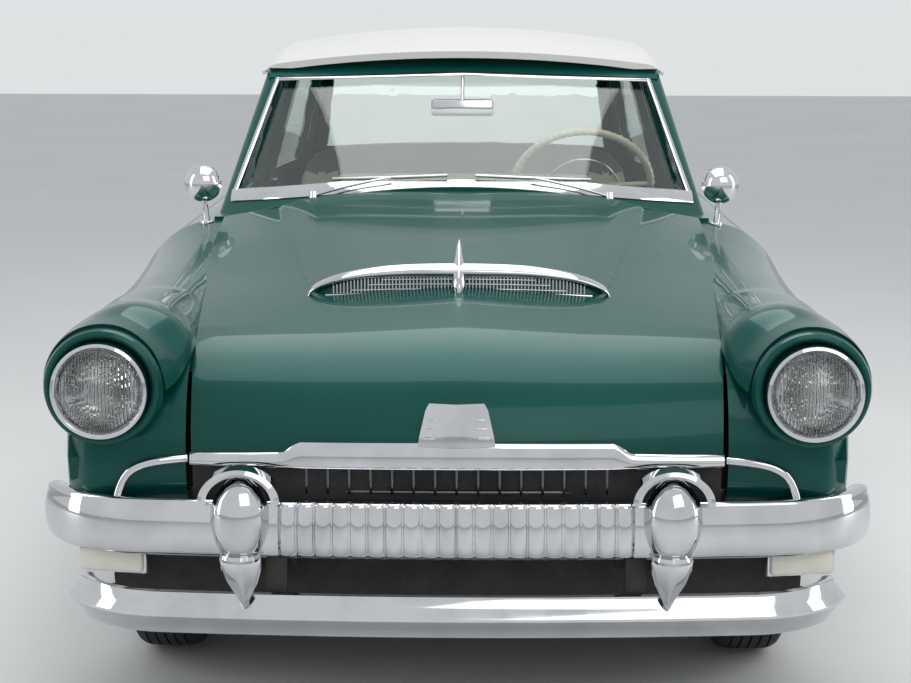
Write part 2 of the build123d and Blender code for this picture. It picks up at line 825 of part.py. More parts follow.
# Rear axle: tube, differential, leaf springs and propeller shaft
with BuildPart() as rear_axle:
    with BuildSketch(Plane.YZ.offset(-half_track_rear + 60)):
        with Locations((rear_axle_y, tyre_radius)):
            Circle(40)
    extrude(amount=2 * half_track_rear - 120)
    with BuildSketch(Plane.YZ.offset(-half_track_rear - 10 + seat_gap)):
        with Locations((rear_axle_y, tyre_radius)):
            Circle(22)
    extrude(amount=2 * (half_track_rear + 10 - seat_gap))
    with Locations((0, rear_axle_y, tyre_radius)):
        Cylinder(125, 150, rotation=(90, 0, 0))
    for side in (-1, 1):
        with Locations((side * spring_x, rear_axle_y, spring_z)):
            Box(2 * spring_half, 2 * spring_reach, 30)
        with BuildSketch(Plane.YZ.offset(side * (half_track_rear - 64))):
            with Locations((rear_axle_y, tyre_radius)):
                Circle(brake_radius)
        extrude(amount=side * 8)
    with BuildSketch(Plane.XZ.offset(-rear_axle_y)):
        with Locations((0, tyre_radius)):
            Circle(36)
    extrude(amount=rear_axle_y - post_y + 400)
save(rear_axle, "rear_axle")

# Engine and gearbox as one plain block
with BuildPart() as engine:
    add(slab((-270, front_axle_y - 330, engine_low_z), (270, fire_y - 60, engine_high_z)))
    add(slab((-120, fire_y - 80, gearbox_z), (120, cowl_y + 500, 440)))
save(engine, "engine")

# Wheels and tyres, turned about X
tyre_profile = [
    (rim_radius + 3 + seat_gap, 62),
    (rim_radius + 48, 90),
    (tyre_radius - 36, 90),
    (tyre_radius, 66),
]
wheel_rows = [
    ("front_left", half_track_front, front_axle_y, 1),
    ("front_right", -half_track_front, front_axle_y, -1),
    ("rear_left", half_track_rear, rear_axle_y, 1),
    ("rear_right", -half_track_rear, rear_axle_y, -1),
]
for name, x, y, side in wheel_rows:
    axle = Axis((x, y, tyre_radius), (1, 0, 0))
    with BuildPart() as tyre:
        with BuildSketch(Plane.XY.offset(tyre_radius)):
            with BuildLine():
                Polyline(
                    *[(x + w, y + r) for r, w in tyre_profile],
                    *[(x - w, y + r) for r, w in reversed(tyre_profile)],
                    close=True,
                )
            make_face()
        revolve(axis=axle)
    save(tyre, f"tyre_{name}")
    with BuildPart() as wheel:
        with BuildSketch(Plane.XY.offset(tyre_radius)):
            with BuildLine():
                Polyline(
                    (x + side * 10, y),
                    (x + side * 50, y),
                    (x + side * 62, y + 50),
                    (x + side * 50, y + 120),
                    (x + side * 62, y + 150),
                    (x + side * 50, y + rim_radius - 22),
                    (x + side * 72, y + rim_radius - 4),
                    (x + side * 72, y + rim_radius + 3),
                    (x - side * 62, y + rim_radius + 3),
                    (x - side * 62, y + rim_radius - 12),
                    (x + side * 20, y + rim_radius - 40),
                    (x + side * 30, y + 80),
                    (x + side * 10, y + 60),
                    close=True,
                )
            make_face()
        revolve(axis=axle)
    save(wheel, f"wheel_{name}")

# Seats: one bench in front and one behind, each a cushion and a back
cushion_half = 560
# columns: name, front y, underside z, cushion top z, back top z
bench_rows = [
    ("front_bench", post_y - 500, floor_z + 130 + seat_gap, 610, 930),
    ("rear_bench", riser_y - 20, floor_z + 130 + seat_gap, 620, 950),
]
for name, y, low_z, cushion_z, top_z in bench_rows:
    with BuildPart() as bench:
        with Locations((0, y + 240, (low_z + cushion_z) / 2)):
            Box(2 * cushion_half, 480, cushion_z - low_z)
        fillet(bench.edges().filter_by(Axis.X), 30)
        with BuildSketch(Plane.YZ.offset(-cushion_half)) as back:
            Polygon(
                (y + 350, cushion_z + seat_gap),
                (y + 480, cushion_z + seat_gap),
                (y + 562, top_z),
                (y + 460, top_z),
                align=None,
            )
            fillet(back.vertices().group_by(Axis.Y)[-1], 20)
        extrude(amount=2 * cushion_half)
    save(bench, name)

# Dashboard with the steering column, and the steering wheel on its own axis
wheel_x = 373
wheel_y = cowl_y + 520
wheel_z = 1090
wheel_tilt = 32
column = Plane(
    (wheel_x, wheel_y, wheel_z), x_dir=(1, 0, 0), z_dir=Vector(0, 1, 0).rotate(Axis.X, wheel_tilt)
)
with BuildPart() as dashboard:
    with BuildSketch(Plane.YZ.offset(-640 + seat_gap)) as dash:
        with BuildLine():
            Polyline(
                (fire_y + 30 + seat_gap, 1010),
                (fire_y + 30 + seat_gap, 830),
                (cowl_y + 200, 830),
                (cowl_y + 250, 900),
                (cowl_y + 230, 1010),
                close=True,
            )
        make_face()
    extrude(amount=2 * (640 - seat_gap))
    with BuildSketch(column.offset(-20 - seat_gap)):
        Circle(28)
    extrude(amount=-320)
save(dashboard, "dashboard")
rim_ring = 215
with BuildPart() as steering:
    with BuildSketch(Plane(column.origin, x_dir=column.x_dir, z_dir=column.y_dir)):
        with Locations((rim_ring, 0)):
            RegularPolygon(11, 8)
    revolve(axis=Axis(column.origin, column.z_dir))
    with BuildSketch(column.offset(-20)):
        Circle(38)
        SlotOverall(2 * rim_ring, 26)
    extrude(amount=26)
save(steering, "steering_wheel")

# Bumper bars: each section is swung along a long middle arc and then round the corner
bar_y = front_y + 60
bar_z = 510
low_bar_z = 315
bar_radius = 6820
bar_half_angle = 5.89
corner_radius = 286
corner_angle = 57
guard_x = 475
# columns: way from the section's middle to the outside, height from its middle
bar_profile = [(-20, -60), (20, -66), (20, 66), (-20, 60)]
low_bar_profile = [(-26, 3), (16, -48), (24, -40), (10, 3), (24, 48), (8, 49)]


def bumper_bar(profile, z):
    """Front bumper bar of one section, in one solid."""
    turn = Vector(1, 0, 0).rotate(Axis.Z, bar_half_angle)
    back = Vector(0, 1, 0).rotate(Axis.Z, bar_half_angle)
    middle_axis = Axis((0, bar_y + bar_radius, 0), (0, 0, 1))
    end = middle_axis.position - back * bar_radius
    with BuildPart() as half:
        with BuildSketch(Plane.YZ):
            with Locations((bar_y, z)):
                Polygon(*profile, align=None)
        revolve(axis=middle_axis, revolution_arc=bar_half_angle)
        with BuildSketch(Plane(end, x_dir=back, z_dir=turn)):
            with Locations((0, z)):
                Polygon(*profile, align=None)
        revolve(axis=Axis(end + back * corner_radius, (0, 0, 1)), revolution_arc=corner_angle)
    with BuildPart() as bar:
        add(half.part)
        mirror(half.part, about=Plane.YZ)
    return bar.part


def bumper_guard(low_z):
    """Upright guard on the front bumper, turned about its own middle."""
    with BuildPart() as guard:
        with BuildSketch(Plane.XZ.offset(-bar_y + 10)):
            with BuildLine():
                ThreePointArc((guard_x + 12, low_z), (guard_x + 40, 470), (guard_x + 52, 540))
                ThreePointArc((guard_x + 52, 540), (guard_x + 40, 606), (guard_x, 645))
                Polyline((guard_x, 645), (guard_x, low_z), (guard_x + 12, low_z))
            make_face()
        revolve(axis=Axis((guard_x, bar_y - 10, 0), (0, 0, 1)))
    return guard.part


upper_bar = bumper_bar(bar_profile, bar_z)
upright = bumper_guard(low_bar_z)
with BuildPart() as front_bumper:
    add(upper_bar)
    add(bumper_bar(low_bar_profile, low_bar_z))
    add(upright)
    mirror(upright, about=Plane.YZ)
    for x in (-frame_x, frame_x):
        add(slab((x - 25, bar_y, 450), (x + 25, nose_y + 20 - seat_gap, 504)))
save(front_bumper, "front_bumper")
high_guard = bumper_guard(bar_z - 60)
with BuildPart() as rear_bumper:
    mirror(upper_bar, about=Plane.XZ)
    for about in (Plane.YZ, None):
        upright_back = mirror(high_guard, about=Plane.XZ, mode=Mode.PRIVATE)
        add(mirror(upright_back, about=about, mode=Mode.PRIVATE) if about else upright_back)
    for x in (-frame_x, frame_x):
        add(slab((x - 25, tail_y - 60 + seat_gap, 416), (x + 25, -bar_y, 470)))
save(rear_bumper, "rear_bumper")

# Grille in the opening under the hood
with BuildPart() as grille:
    add(slab((-640, nose_y - 10, 630), (640, nose_y + 10, hood_lip_z - seat_gap)))
    add(slab((-640, nose_y - 10, 560), (640, nose_y + 10, 575)))
    with GridLocations(48, 1, 26, 1):
        with Locations((0, nose_y, 600)):
            Box(8, 12, 80)
save(grille, "grille")

# Lamps
with BuildPart() as bezels:
    for side in (-1, 1):
        with BuildSketch(Plane.XZ.offset(-(nose_y - 20) + seat_gap)):
            with Locations((side * lamp_x, lamp_z)):
                Circle(bezel_radius)
                Circle(lamp_radius, mode=Mode.SUBTRACT)
        extrude(amount=22)
save(bezels, "lamp_bezels")
with BuildPart() as lenses:
    for side in (-1, 1):
        with BuildSketch(Plane.XZ.offset(-(nose_y - 20) + seat_gap)):
            with Locations((side * lamp_x, lamp_z)):
                Circle(lamp_radius - seat_gap)
        extrude(amount=14)
save(lenses, "lamp_lenses")
with BuildPart() as tail_lamps:
    for side in (-1, 1):
        with BuildSketch(Plane.XZ.offset(-(tail_y + seat_gap + 30))):
            with Locations((side * 740, 740)):
                Ellipse(60, 80)
        extrude(amount=30)
save(tail_lamps, "tail_lamps")

# Mirrors on the fenders
mirror_x = 736
mirror_y = cowl_y - 25
with BuildPart() as mirrors:
    for side in (-1, 1):
        with BuildSketch(Plane.XZ.offset(-mirror_y)):
            with Locations((side * mirror_x, 1150)):
                Circle(45)
        extrude(amount=25)
        with Locations((side * mirror_x, mirror_y - 12, 1085)):
            Cylinder(7, 110)
    add(fender_left.part, mode=Mode.SUBTRACT)
    add(fender_right.part, mode=Mode.SUBTRACT)
save(mirrors, "mirrors")

# Hood trim: scoop grille and ornament
with BuildPart() as hood_trim:
    with BuildSketch(Plane.XZ.offset(-(scoop_y - seat_gap))) as lens:
        with BuildLine():
            ThreePointArc((-330, 958), (0, 1014), (330, 958))
            Line((330, 958), (-330, 958))
        make_face()
    extrude(amount=12)
    add(hood.part, mode=Mode.SUBTRACT)
save(hood_trim, "hood_trim")

# Fuel tank and exhaust under the floor
with BuildPart() as underbody:
    add(slab((-340, rear_axle_y + 420, 390), (340, tail_y - 130, trunk_floor_z - pan - seat_gap)))
save(underbody, "fuel_tank")
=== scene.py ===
import math

import bpy
from mathutils import Matrix, Vector


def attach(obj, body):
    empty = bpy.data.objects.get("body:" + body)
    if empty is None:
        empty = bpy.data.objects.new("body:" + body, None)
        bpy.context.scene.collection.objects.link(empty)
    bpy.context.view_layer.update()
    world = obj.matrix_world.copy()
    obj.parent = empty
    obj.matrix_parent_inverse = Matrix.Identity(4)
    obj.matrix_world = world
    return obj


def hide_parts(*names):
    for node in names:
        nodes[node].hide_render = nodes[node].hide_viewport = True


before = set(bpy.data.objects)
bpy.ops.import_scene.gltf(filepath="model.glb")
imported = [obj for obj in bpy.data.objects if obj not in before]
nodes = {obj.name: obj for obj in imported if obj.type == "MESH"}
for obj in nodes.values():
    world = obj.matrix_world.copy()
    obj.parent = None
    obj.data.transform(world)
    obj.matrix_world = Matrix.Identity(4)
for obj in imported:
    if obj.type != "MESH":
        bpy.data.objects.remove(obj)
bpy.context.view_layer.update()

# Places on the car in metres: it faces -Y and its driver sits at +X
FRONT_AXLE_Y = -1.708
REAR_AXLE_Y = 1.289
HALF_TRACK_FRONT = 0.739
HALF_TRACK_REAR = 0.716
TYRE_RADIUS = 0.355
SIDES = (("left", 1), ("right", -1))
SAME_POINT = 0.00005


# Modelling by hand


def deselect():
    """Nothing stays selected."""
    if bpy.context.object and bpy.context.object.mode == "EDIT":
        bpy.ops.object.mode_set(mode="OBJECT")
    bpy.ops.object.select_all(action="DESELECT")


def pick(piece):
    """Only this piece is selected and active."""
    deselect()
    piece.select_set(True)
    bpy.context.view_layer.objects.active = piece


def edit(piece):
    """This piece in edit mode, all of it selected."""
    pick(piece)
    bpy.ops.object.mode_set(mode="EDIT")
    bpy.ops.mesh.select_all(action="SELECT")


def leave():
    """Back to object mode."""
    bpy.ops.object.mode_set(mode="OBJECT")


def named(piece, name):
    """Gives an object and its mesh one name."""
    piece.name = name
    piece.data.name = name
    return piece


def settle(piece):
    """Puts the piece's place into its mesh."""
    pick(piece)
    bpy.ops.object.transform_apply(location=True, rotation=True, scale=True)
    return piece


def added(primitive, **values):
    """A new basic mesh from one of the primitive operators, ready to be shaped."""
    deselect()
    primitive(**values)
    return bpy.context.object


def draw_line(points, close=False):
    """A chain of edges through the points, drawn by extruding one vertex."""
    line = added(bpy.ops.mesh.primitive_plane_add, size=0.001, location=points[0])
    bpy.ops.object.transform_apply(location=True, rotation=False, scale=False)
    edit(line)
    bpy.ops.mesh.merge(type="CENTER")
    bpy.ops.mesh.select_all(action="SELECT")
    for before, after in zip(points, points[1:]):
        step = Vector(after) - Vector(before)
        bpy.ops.mesh.extrude_region_move(TRANSFORM_OT_translate={"value": step})
    if close:
        bpy.ops.mesh.select_all(action="SELECT")
        ends = [0, len(points) - 1]
        leave()
        line.data.edges.add(1)
        line.data.edges[-1].vertices = ends
        line.data.update(calc_edges=True)
        edit(line)
    return line


def clean(piece):
    """Joins doubled points and turns every face outwards."""
    edit(piece)
    bpy.ops.mesh.remove_doubles(threshold=SAME_POINT)
    bpy.ops.mesh.normals_make_consistent(inside=False)
    leave()
    return piece


def spun(points, centre, axis, steps=48, angle=math.tau, close=False):
    """Turns a drawn line about an axis, by a right-hand angle; with no window spin goes the other way."""
    piece = draw_line(points, close)
    bpy.ops.mesh.select_all(action="SELECT")
    bpy.ops.mesh.spin(steps=steps, angle=-angle, center=centre, axis=axis)
    return clean(piece)


def modify(piece, kind, **values):
    """Adds one modifier and applies it."""
    pick(piece)
    modifier = piece.modifiers.new(kind.title(), kind)
    for key, value in values.items():
        setattr(modifier, key, value)
    bpy.ops.object.modifier_apply(modifier=modifier.name)
    return piece


def rounded(piece, width, segments=2, angle=35):
    """Rounds the sharp edges."""
    return modify(
        piece, "BEVEL", width=width, segments=segments, limit_method="ANGLE", angle_limit=math.radians(angle)
    )


def both_sides(piece):
    """Adds the same shape on the car's other side."""
    settle(piece)
    modify(piece, "MIRROR", use_axis=(True, False, False), use_clip=False, merge_threshold=SAME_POINT)
    return clean(piece)


def joined(pieces, name):
    """Several pieces as one."""
    pick(pieces[0])
    for piece in pieces[1:]:
        piece.select_set(True)
    bpy.ops.object.join()
    return named(bpy.context.object, name)


def wire(points, radius):
    """A bent rod that follows a smooth curve with these control points."""
    curve = bpy.data.curves.new("rod", "CURVE")
    curve.dimensions = "3D"
    spline = curve.splines.new("NURBS")
    spline.points.add(len(points) - 1)
    for point, place in zip(spline.points, points):
        point.co = (*place, 1)
    spline.order_u = min(4, len(points))
    spline.use_endpoint_u = True
    curve.resolution_u = 8
    curve.bevel_depth = radius
    curve.bevel_resolution = 3
    curve.use_fill_caps = True
    curve.twist_mode = "Z_UP"
    rod = bpy.data.objects.new("rod", curve)
    bpy.context.scene.collection.objects.link(rod)
    pick(rod)
    bpy.ops.object.convert(target="MESH")
    return clean(bpy.context.object)


def pulled(across, along, place, thickness):
    """A sheet whose vertices are pulled to place(u, v), with u and v from 0 to 1, then given thickness."""
    sheet = added(bpy.ops.mesh.primitive_grid_add, x_subdivisions=across, y_subdivisions=along, size=2)
    for vertex in sheet.data.vertices:
        vertex.co = place((vertex.co.x + 1) / 2, (vertex.co.y + 1) / 2)
    return modify(clean(sheet), "SOLIDIFY", thickness=thickness, offset=0)


def between(table, value):
    """Reads a row of numbers from a table sorted by its first column."""
    for low, high in zip(table, table[1:]):
        if value <= high[0]:
            share = (value - low[0]) / (high[0] - low[0])
            share = max(0.0, min(1.0, share))
            return [a + (b - a) * share for a, b in zip(low[1:], high[1:])]
    return list(table[-1][1:])


def eased(table, value):
    """Reads a table as between does, along smooth curves through its rows."""
    keys = [row[0] for row in table]
    value = max(keys[0], min(keys[-1], value))
    at = max(0, min(len(table) - 2, sum(1 for key in keys[1:] if key < value)))
    low, high = table[at], table[at + 1]
    before, after = table[max(0, at - 1)], table[min(len(table) - 1, at + 2)]
    span = high[0] - low[0]
    share = (value - low[0]) / span
    result = []
    for column in range(1, len(low)):
        slope_low = (high[column] - before[column]) / (high[0] - before[0]) * span
        slope_high = (after[column] - low[column]) / (after[0] - low[0]) * span
        result.append(
            low[column] * (2 * share**3 - 3 * share**2 + 1)
            + slope_low * (share**3 - 2 * share**2 + share)
            + high[column] * (3 * share**2 - 2 * share**3)
            + slope_high * (share**3 - share**2)
        )
    return result


def cylinder(radius, depth, place, turn=(0, 0, 0), sides=32):
    """A round bar, along Z until it is turned."""
    return added(
        bpy.ops.mesh.primitive_cylinder_add,
        vertices=sides, radius=radius, depth=depth, location=place, rotation=turn,
    )


def block(size, place, turn=(0, 0, 0), edge=0.003):
    """A block with rounded edges."""
    piece = added(bpy.ops.mesh.primitive_cube_add, size=1, location=place, rotation=turn)
    piece.scale = size
    settle(piece)
    return rounded(piece, edge)


def copied(piece, move):
    """A copy with its own mesh, moved along."""
    twin = piece.copy()
    twin.data = piece.data.copy()
    bpy.context.scene.collection.objects.link(twin)
    twin.data.transform(Matrix.Translation(Vector(move)))
    return twin


def finished(piece, name, material, body="car_body", smooth=40):
    """Names a piece and gives it its finish and the body that it rides on."""
    named(piece, name)
    settle(piece)
    pick(piece)
    bpy.ops.object.shade_smooth_by_angle(angle=math.radians(smooth))
    piece.data.materials.clear()
    piece.data.materials.append(material)
    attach(piece, body)
    return piece


# Finishes


def with_inputs(node, **values):
    """Sets some of a node's inputs by name, with _ for a space."""
    for key, value in values.items():
        node.inputs[key.replace("_", " ")].default_value = value
    return node


def maths(tree, operation):
    """A node that works one operation on two numbers."""
    made = tree.nodes.new("ShaderNodeMath")
    made.operation = operation
    return made


def wired(tree, *pairs):
    """Links each output to its input."""
    for source, target in pairs:
        tree.links.new(source, target)


def effect_group(name, outputs, **inputs):
    """A node group with its sockets, then its entry, its exit and the place on the object."""
    group = bpy.data.node_groups.new(name, "ShaderNodeTree")
    for key, value in inputs.items():
        socket = group.interface.new_socket(
            name=key.replace("_", " "), in_out="INPUT", socket_type="NodeSocketFloat"
        )
        socket.default_value = value
    for key in outputs:
        group.interface.new_socket(name=key, in_out="OUTPUT", socket_type="NodeSocketFloat")
    entry = group.nodes.new("NodeGroupInput")
    out = group.nodes.new("NodeGroupOutput")
    place = group.nodes.new("ShaderNodeTexCoord").outputs["Object"]
    return group, entry, out, place


def mottle_group():
    """Shared effect: broad uneven patches and fine grain, as a mask and a height."""
    group, entry, out, place = effect_group("mottle", ("Mask", "Grain"), Broad_Scale=6.0, Fine_Scale=400.0)
    for scale, detail, result in (("Broad Scale", 5, "Mask"), ("Fine Scale", 3, "Grain")):
        noise = with_inputs(group.nodes.new("ShaderNodeTexNoise"), Detail=detail)
        wired(
            group,
            (place, noise.inputs["Vector"]),
            (entry.outputs[scale], noise.inputs["Scale"]),
            (noise.outputs["Fac"], out.inputs[result]),
        )
    return group


def low_dust_group():
    """Shared effect: road dust that thins out with height."""
    group, entry, out, place = effect_group("low_dust", ("Mask",), Top=0.6, Amount=0.5)
    split = group.nodes.new("ShaderNodeSeparateXYZ")
    reach = with_inputs(group.nodes.new("ShaderNodeMapRange"), To_Min=1, To_Max=0)
    noise = with_inputs(group.nodes.new("ShaderNodeTexNoise"), Scale=14)
    mixed, scaled = maths(group, "MULTIPLY"), maths(group, "MULTIPLY")
    wired(
        group,
        (place, split.inputs["Vector"]),
        (place, noise.inputs["Vector"]),
        (split.outputs["Z"], reach.inputs["Value"]),
        (entry.outputs["Top"], reach.inputs["From Max"]),
        (reach.outputs["Result"], mixed.inputs[0]),
        (noise.outputs["Fac"], mixed.inputs[1]),
        (mixed.outputs["Value"], scaled.inputs[0]),
        (entry.outputs["Amount"], scaled.inputs[1]),
        (scaled.outputs["Value"], out.inputs["Mask"]),
    )
    return group


MOTTLE = mottle_group()
LOW_DUST = low_dust_group()


class Finish:
    """A material being mixed: a Principled shader and the nodes that feed it."""

    def __init__(self, name, **sockets):
        self.material = bpy.data.materials.new(name)
        self.material.use_nodes = True
        self.tree = self.material.node_tree
        self.shader = with_inputs(self.tree.nodes["Principled BSDF"], **sockets)

    def node(self, kind, **values):
        """A node with some of its inputs set."""
        return with_inputs(self.tree.nodes.new(kind), **values)

    def link(self, source, target):
        """One wire between two sockets."""
        self.tree.links.new(source, target)

    def effect(self, group, **values):
        """A shared effect placed in this material."""
        made = self.node("ShaderNodeGroup")
        made.node_tree = group
        return with_inputs(made, **values)

    def ramp(self, source, stops):
        """Turns a value into a colour through a list of stops."""
        made = self.node("ShaderNodeValToRGB")
        elements = made.color_ramp.elements
        while len(elements) < len(stops):
            elements.new(0.5)
        for element, (place, colour) in zip(elements, stops):
            element.position = place
            element.color = (*colour, 1)
        self.link(source, made.inputs["Fac"])
        return made.outputs["Color"]

    def spread(self, source, low, high):
        """Moves a noise value, which stays mostly between 0.3 and 0.7, into another range."""
        made = self.node("ShaderNodeMapRange", From_Min=0.3, From_Max=0.7, To_Min=low, To_Max=high)
        self.link(source, made.inputs["Value"])
        return made.outputs["Result"]

    def mixed(self, share, source, colour):
        """Blends a plain colour over the one from a socket."""
        made = self.node("ShaderNodeMix")
        made.data_type = "RGBA"
        under, over = [socket for socket in made.inputs if socket.type == "RGBA"]
        self.link(share, made.inputs["Factor"])
        self.link(source, under)
        over.default_value = (*colour, 1)
        return next(socket for socket in made.outputs if socket.type == "RGBA")

    def feed(self, socket, source):
        """Feeds one socket of the shader."""
        self.link(source, self.shader.inputs[socket])

    def bumped(self, height, strength, distance):
        """Raises the surface by a height."""
        made = self.node("ShaderNodeBump", Strength=strength, Distance=distance)
        self.link(height, made.inputs["Height"])
        self.feed("Normal", made.outputs["Normal"])


def paint(name, deep, bright, metallic, fine_scale, dust_top=0.55):
    """Car paint: two close tones, fine flake, clear coat, road dust low down."""
    mix = Finish(
        name, Metallic=metallic, Specular_IOR_Level=0.12, Coat_Weight=0.55, Coat_Roughness=0.04, Coat_IOR=1.35
    )
    mottle = mix.effect(MOTTLE, Broad_Scale=3.0, Fine_Scale=fine_scale)
    flake = mix.ramp(mottle.outputs["Grain"], [(0.35, deep), (0.65, bright)])
    dust = mix.effect(LOW_DUST, Top=dust_top, Amount=0.35)
    mix.feed("Base Color", mix.mixed(dust.outputs["Mask"], flake, (0.2, 0.19, 0.17)))
    mix.feed("Roughness", mix.spread(mottle.outputs["Mask"], 0.26, 0.36))
    mix.bumped(mottle.outputs["Mask"], 0.05, 0.001)
    return mix.material


def polished(name, colour, low, high):
    """Bright plated metal with faint smears."""
    mix = Finish(name, Metallic=1.0)
    mottle = mix.effect(MOTTLE, Broad_Scale=9.0, Fine_Scale=900.0)
    dull = tuple(part * 0.86 for part in colour)
    mix.feed("Base Color", mix.ramp(mottle.outputs["Mask"], [(0.35, dull), (0.6, colour)]))
    mix.feed("Roughness", mix.spread(mottle.outputs["Mask"], low, high))
    mix.bumped(mottle.outputs["Grain"], 0.02, 0.0002)
    return mix.material


def moulded(name, dark, light, low, high, fine_scale, bump):
    """Plastic, rubber, vinyl or cast metal with its grain and uneven tone."""
    mix = Finish(name)
    mottle = mix.effect(MOTTLE, Broad_Scale=11.0, Fine_Scale=fine_scale)
    mix.feed("Base Color", mix.ramp(mottle.outputs["Mask"], [(0.3, dark), (0.7, light)]))
    mix.feed("Roughness", mix.spread(mottle.outputs["Grain"], low, high))
    mix.bumped(mottle.outputs["Grain"], bump, 0.0006)
    return mix.material


def clear_glass(name, colour, roughness=0.0, ribs=0.0):
    """Glass, with a little haze and upright ribs where a lens has them."""
    mix = Finish(name, Transmission_Weight=1.0, IOR=1.45, Roughness=roughness, Specular_IOR_Level=0.3)
    mottle = mix.effect(MOTTLE, Broad_Scale=5.0, Fine_Scale=60.0)
    pale = tuple(min(1.0, part * 1.04) for part in colour)
    mix.feed("Base Color", mix.ramp(mottle.outputs["Mask"], [(0.3, colour), (0.7, pale)]))
    if ribs:
        place = mix.node("ShaderNodeTexCoord")
        wave = mix.node("ShaderNodeTexWave", Scale=ribs)
        mix.link(place.outputs["Object"], wave.inputs["Vector"])
        mix.bumped(wave.outputs["Fac"], 1.0, 0.004)
    return mix.material


GREEN = paint("green_paint", (0.0006, 0.046, 0.038), (0.0014, 0.094, 0.076), 0.25, 1600.0)
WHITE = paint("white_roof_paint", (0.60, 0.59, 0.57), (0.66, 0.65, 0.63), 0.0, 800.0)
CHROME = polished("chrome_plate", (0.66, 0.67, 0.69), 0.03, 0.09)
DULL_METAL = polished("lamp_reflector", (0.72, 0.73, 0.74), 0.12, 0.24)
WINDOW = clear_glass("window_glass", (0.88, 0.94, 0.91))
LENS = clear_glass("ribbed_lamp_glass", (0.93, 0.94, 0.93), 0.02, 42.0)
RED = moulded("red_lens", (0.24, 0.004, 0.004), (0.36, 0.008, 0.006), 0.08, 0.18, 90.0, 0.15)
TYRE = moulded("tyre_rubber", (0.012, 0.012, 0.012), (0.026, 0.025, 0.024), 0.72, 0.9, 500.0, 0.25)
SLAT_METAL = polished("slat_metal", (0.16, 0.165, 0.17), 0.2, 0.35)
WHITE_RUBBER = moulded("white_rubber", (0.62, 0.61, 0.57), (0.72, 0.71, 0.68), 0.55, 0.75, 300.0, 0.2)
IRON = moulded("cast_iron", (0.03, 0.032, 0.03), (0.06, 0.06, 0.055), 0.5, 0.75, 260.0, 0.4)
BLACK = moulded("chassis_black", (0.012, 0.012, 0.012), (0.035, 0.033, 0.03), 0.45, 0.75, 180.0, 0.3)
MAT = moulded("floor_mat", (0.014, 0.016, 0.015), (0.03, 0.032, 0.03), 0.8, 0.95, 700.0, 0.6)
IVORY = moulded("ivory_plastic", (0.62, 0.57, 0.44), (0.70, 0.65, 0.52), 0.2, 0.32, 300.0, 0.08)
CREAM_LENS = moulded("cream_lens", (0.66, 0.64, 0.55), (0.74, 0.72, 0.64), 0.12, 0.22, 120.0, 0.1)
CREAM_VINYL = moulded("cream_vinyl", (0.58, 0.53, 0.40), (0.66, 0.61, 0.48), 0.42, 0.58, 900.0, 0.35)
GREEN_VINYL = moulded("green_vinyl", (0.010, 0.05, 0.038), (0.018, 0.075, 0.058), 0.4, 0.55, 900.0, 0.35)
DASH_GREEN = paint("dash_paint", (0.004, 0.045, 0.036), (0.008, 0.08, 0.064), 0.3, 1200.0, 0.1)

# columns: finish, words in the names of the solids that have it; the rest is green
node_finishes = [
    (WINDOW, ("windshield", "rear_window", "glass")),
    (WHITE, ("roof_panel",)),
    (CHROME, ("lamp_bezels", "hood_trim", "bumper", "mirrors")),
    (LENS, ("lamp_lenses",)),
    (RED, ("tail_lamps",)),
    (TYRE, ("tyre",)),
    (BLACK, ("wheel_", "knuckle", "grille", "chassis_frame", "front_suspension", "rear_axle", "fuel_tank")),
    (MAT, ("floor",)),
    (IRON, ("engine",)),
    (DASH_GREEN, ("dashboard",)),
    (IVORY, ("steering_wheel",)),
    (CREAM_VINYL, ("bench",)),
]
for name, node in nodes.items():
    finish = next((finish for finish, words in node_finishes if any(word in name for word in words)), GREEN)
    node.data.materials.clear()
    node.data.materials.append(finish)

# Front bumper: each bar's section is spun along a long arc and then round the corner

BAR_Y = -2.508
BAR_RADIUS = 6.820
BAR_WALL = 0.010
PLAIN_STEPS = 96
FLUTED_STEPS = 320
CORNER_STEPS = 24
GUARD_X = 0.475
BROW_Z = 0.580
FLUTE_PITCH = 0.039
FLUTED_HALF = 0.390
SLAT_PITCH = 0.048


def bar_outline(rows):
    """Closed section: the outer face and, a wall behind it, the inner one; rows are depth and height."""
    middle_z = rows[len(rows) // 2][1]
    inner = [(out + BAR_WALL, z + (BAR_WALL if z < middle_z else -BAR_WALL) * 0.7) for out, z in rows]
    return [(0, BAR_Y + out, z) for out, z in rows + inner[::-1]]


def bumper_bar(rows, half_angle, corner_radius, corner_angle, flute=0.0):
    """One bumper bar with both its ends: a long arc, then a tighter one round each corner."""
    turn = math.radians(half_angle)
    bar = draw_line(bar_outline(rows), close=True)
    bpy.ops.mesh.select_all(action="SELECT")
    steps = FLUTED_STEPS if flute else PLAIN_STEPS
    bpy.ops.mesh.spin(steps=steps, angle=-turn, center=(0, BAR_Y + BAR_RADIUS, 0), axis=(0, 0, 1))
    end = Vector((math.sin(turn), -math.cos(turn), 0)) * BAR_RADIUS + Vector((0, BAR_Y + BAR_RADIUS, 0))
    centre = end + Vector((-math.sin(turn), math.cos(turn), 0)) * corner_radius
    bpy.ops.mesh.spin(steps=CORNER_STEPS, angle=-math.radians(corner_angle), center=centre, axis=(0, 0, 1))
    bpy.ops.mesh.edge_face_add()
    clean(bar)
    if flute:
        for vertex in bar.data.vertices:
            front = BAR_Y + BAR_RADIUS - math.hypot(vertex.co.x, vertex.co.y - BAR_Y - BAR_RADIUS)
            if abs(vertex.co.x) < FLUTED_HALF and front < BAR_Y - 0.005:
                vertex.co.y -= flute * abs(math.sin(math.pi * vertex.co.x / FLUTE_PITCH)) ** 0.5
    return both_sides(bar)


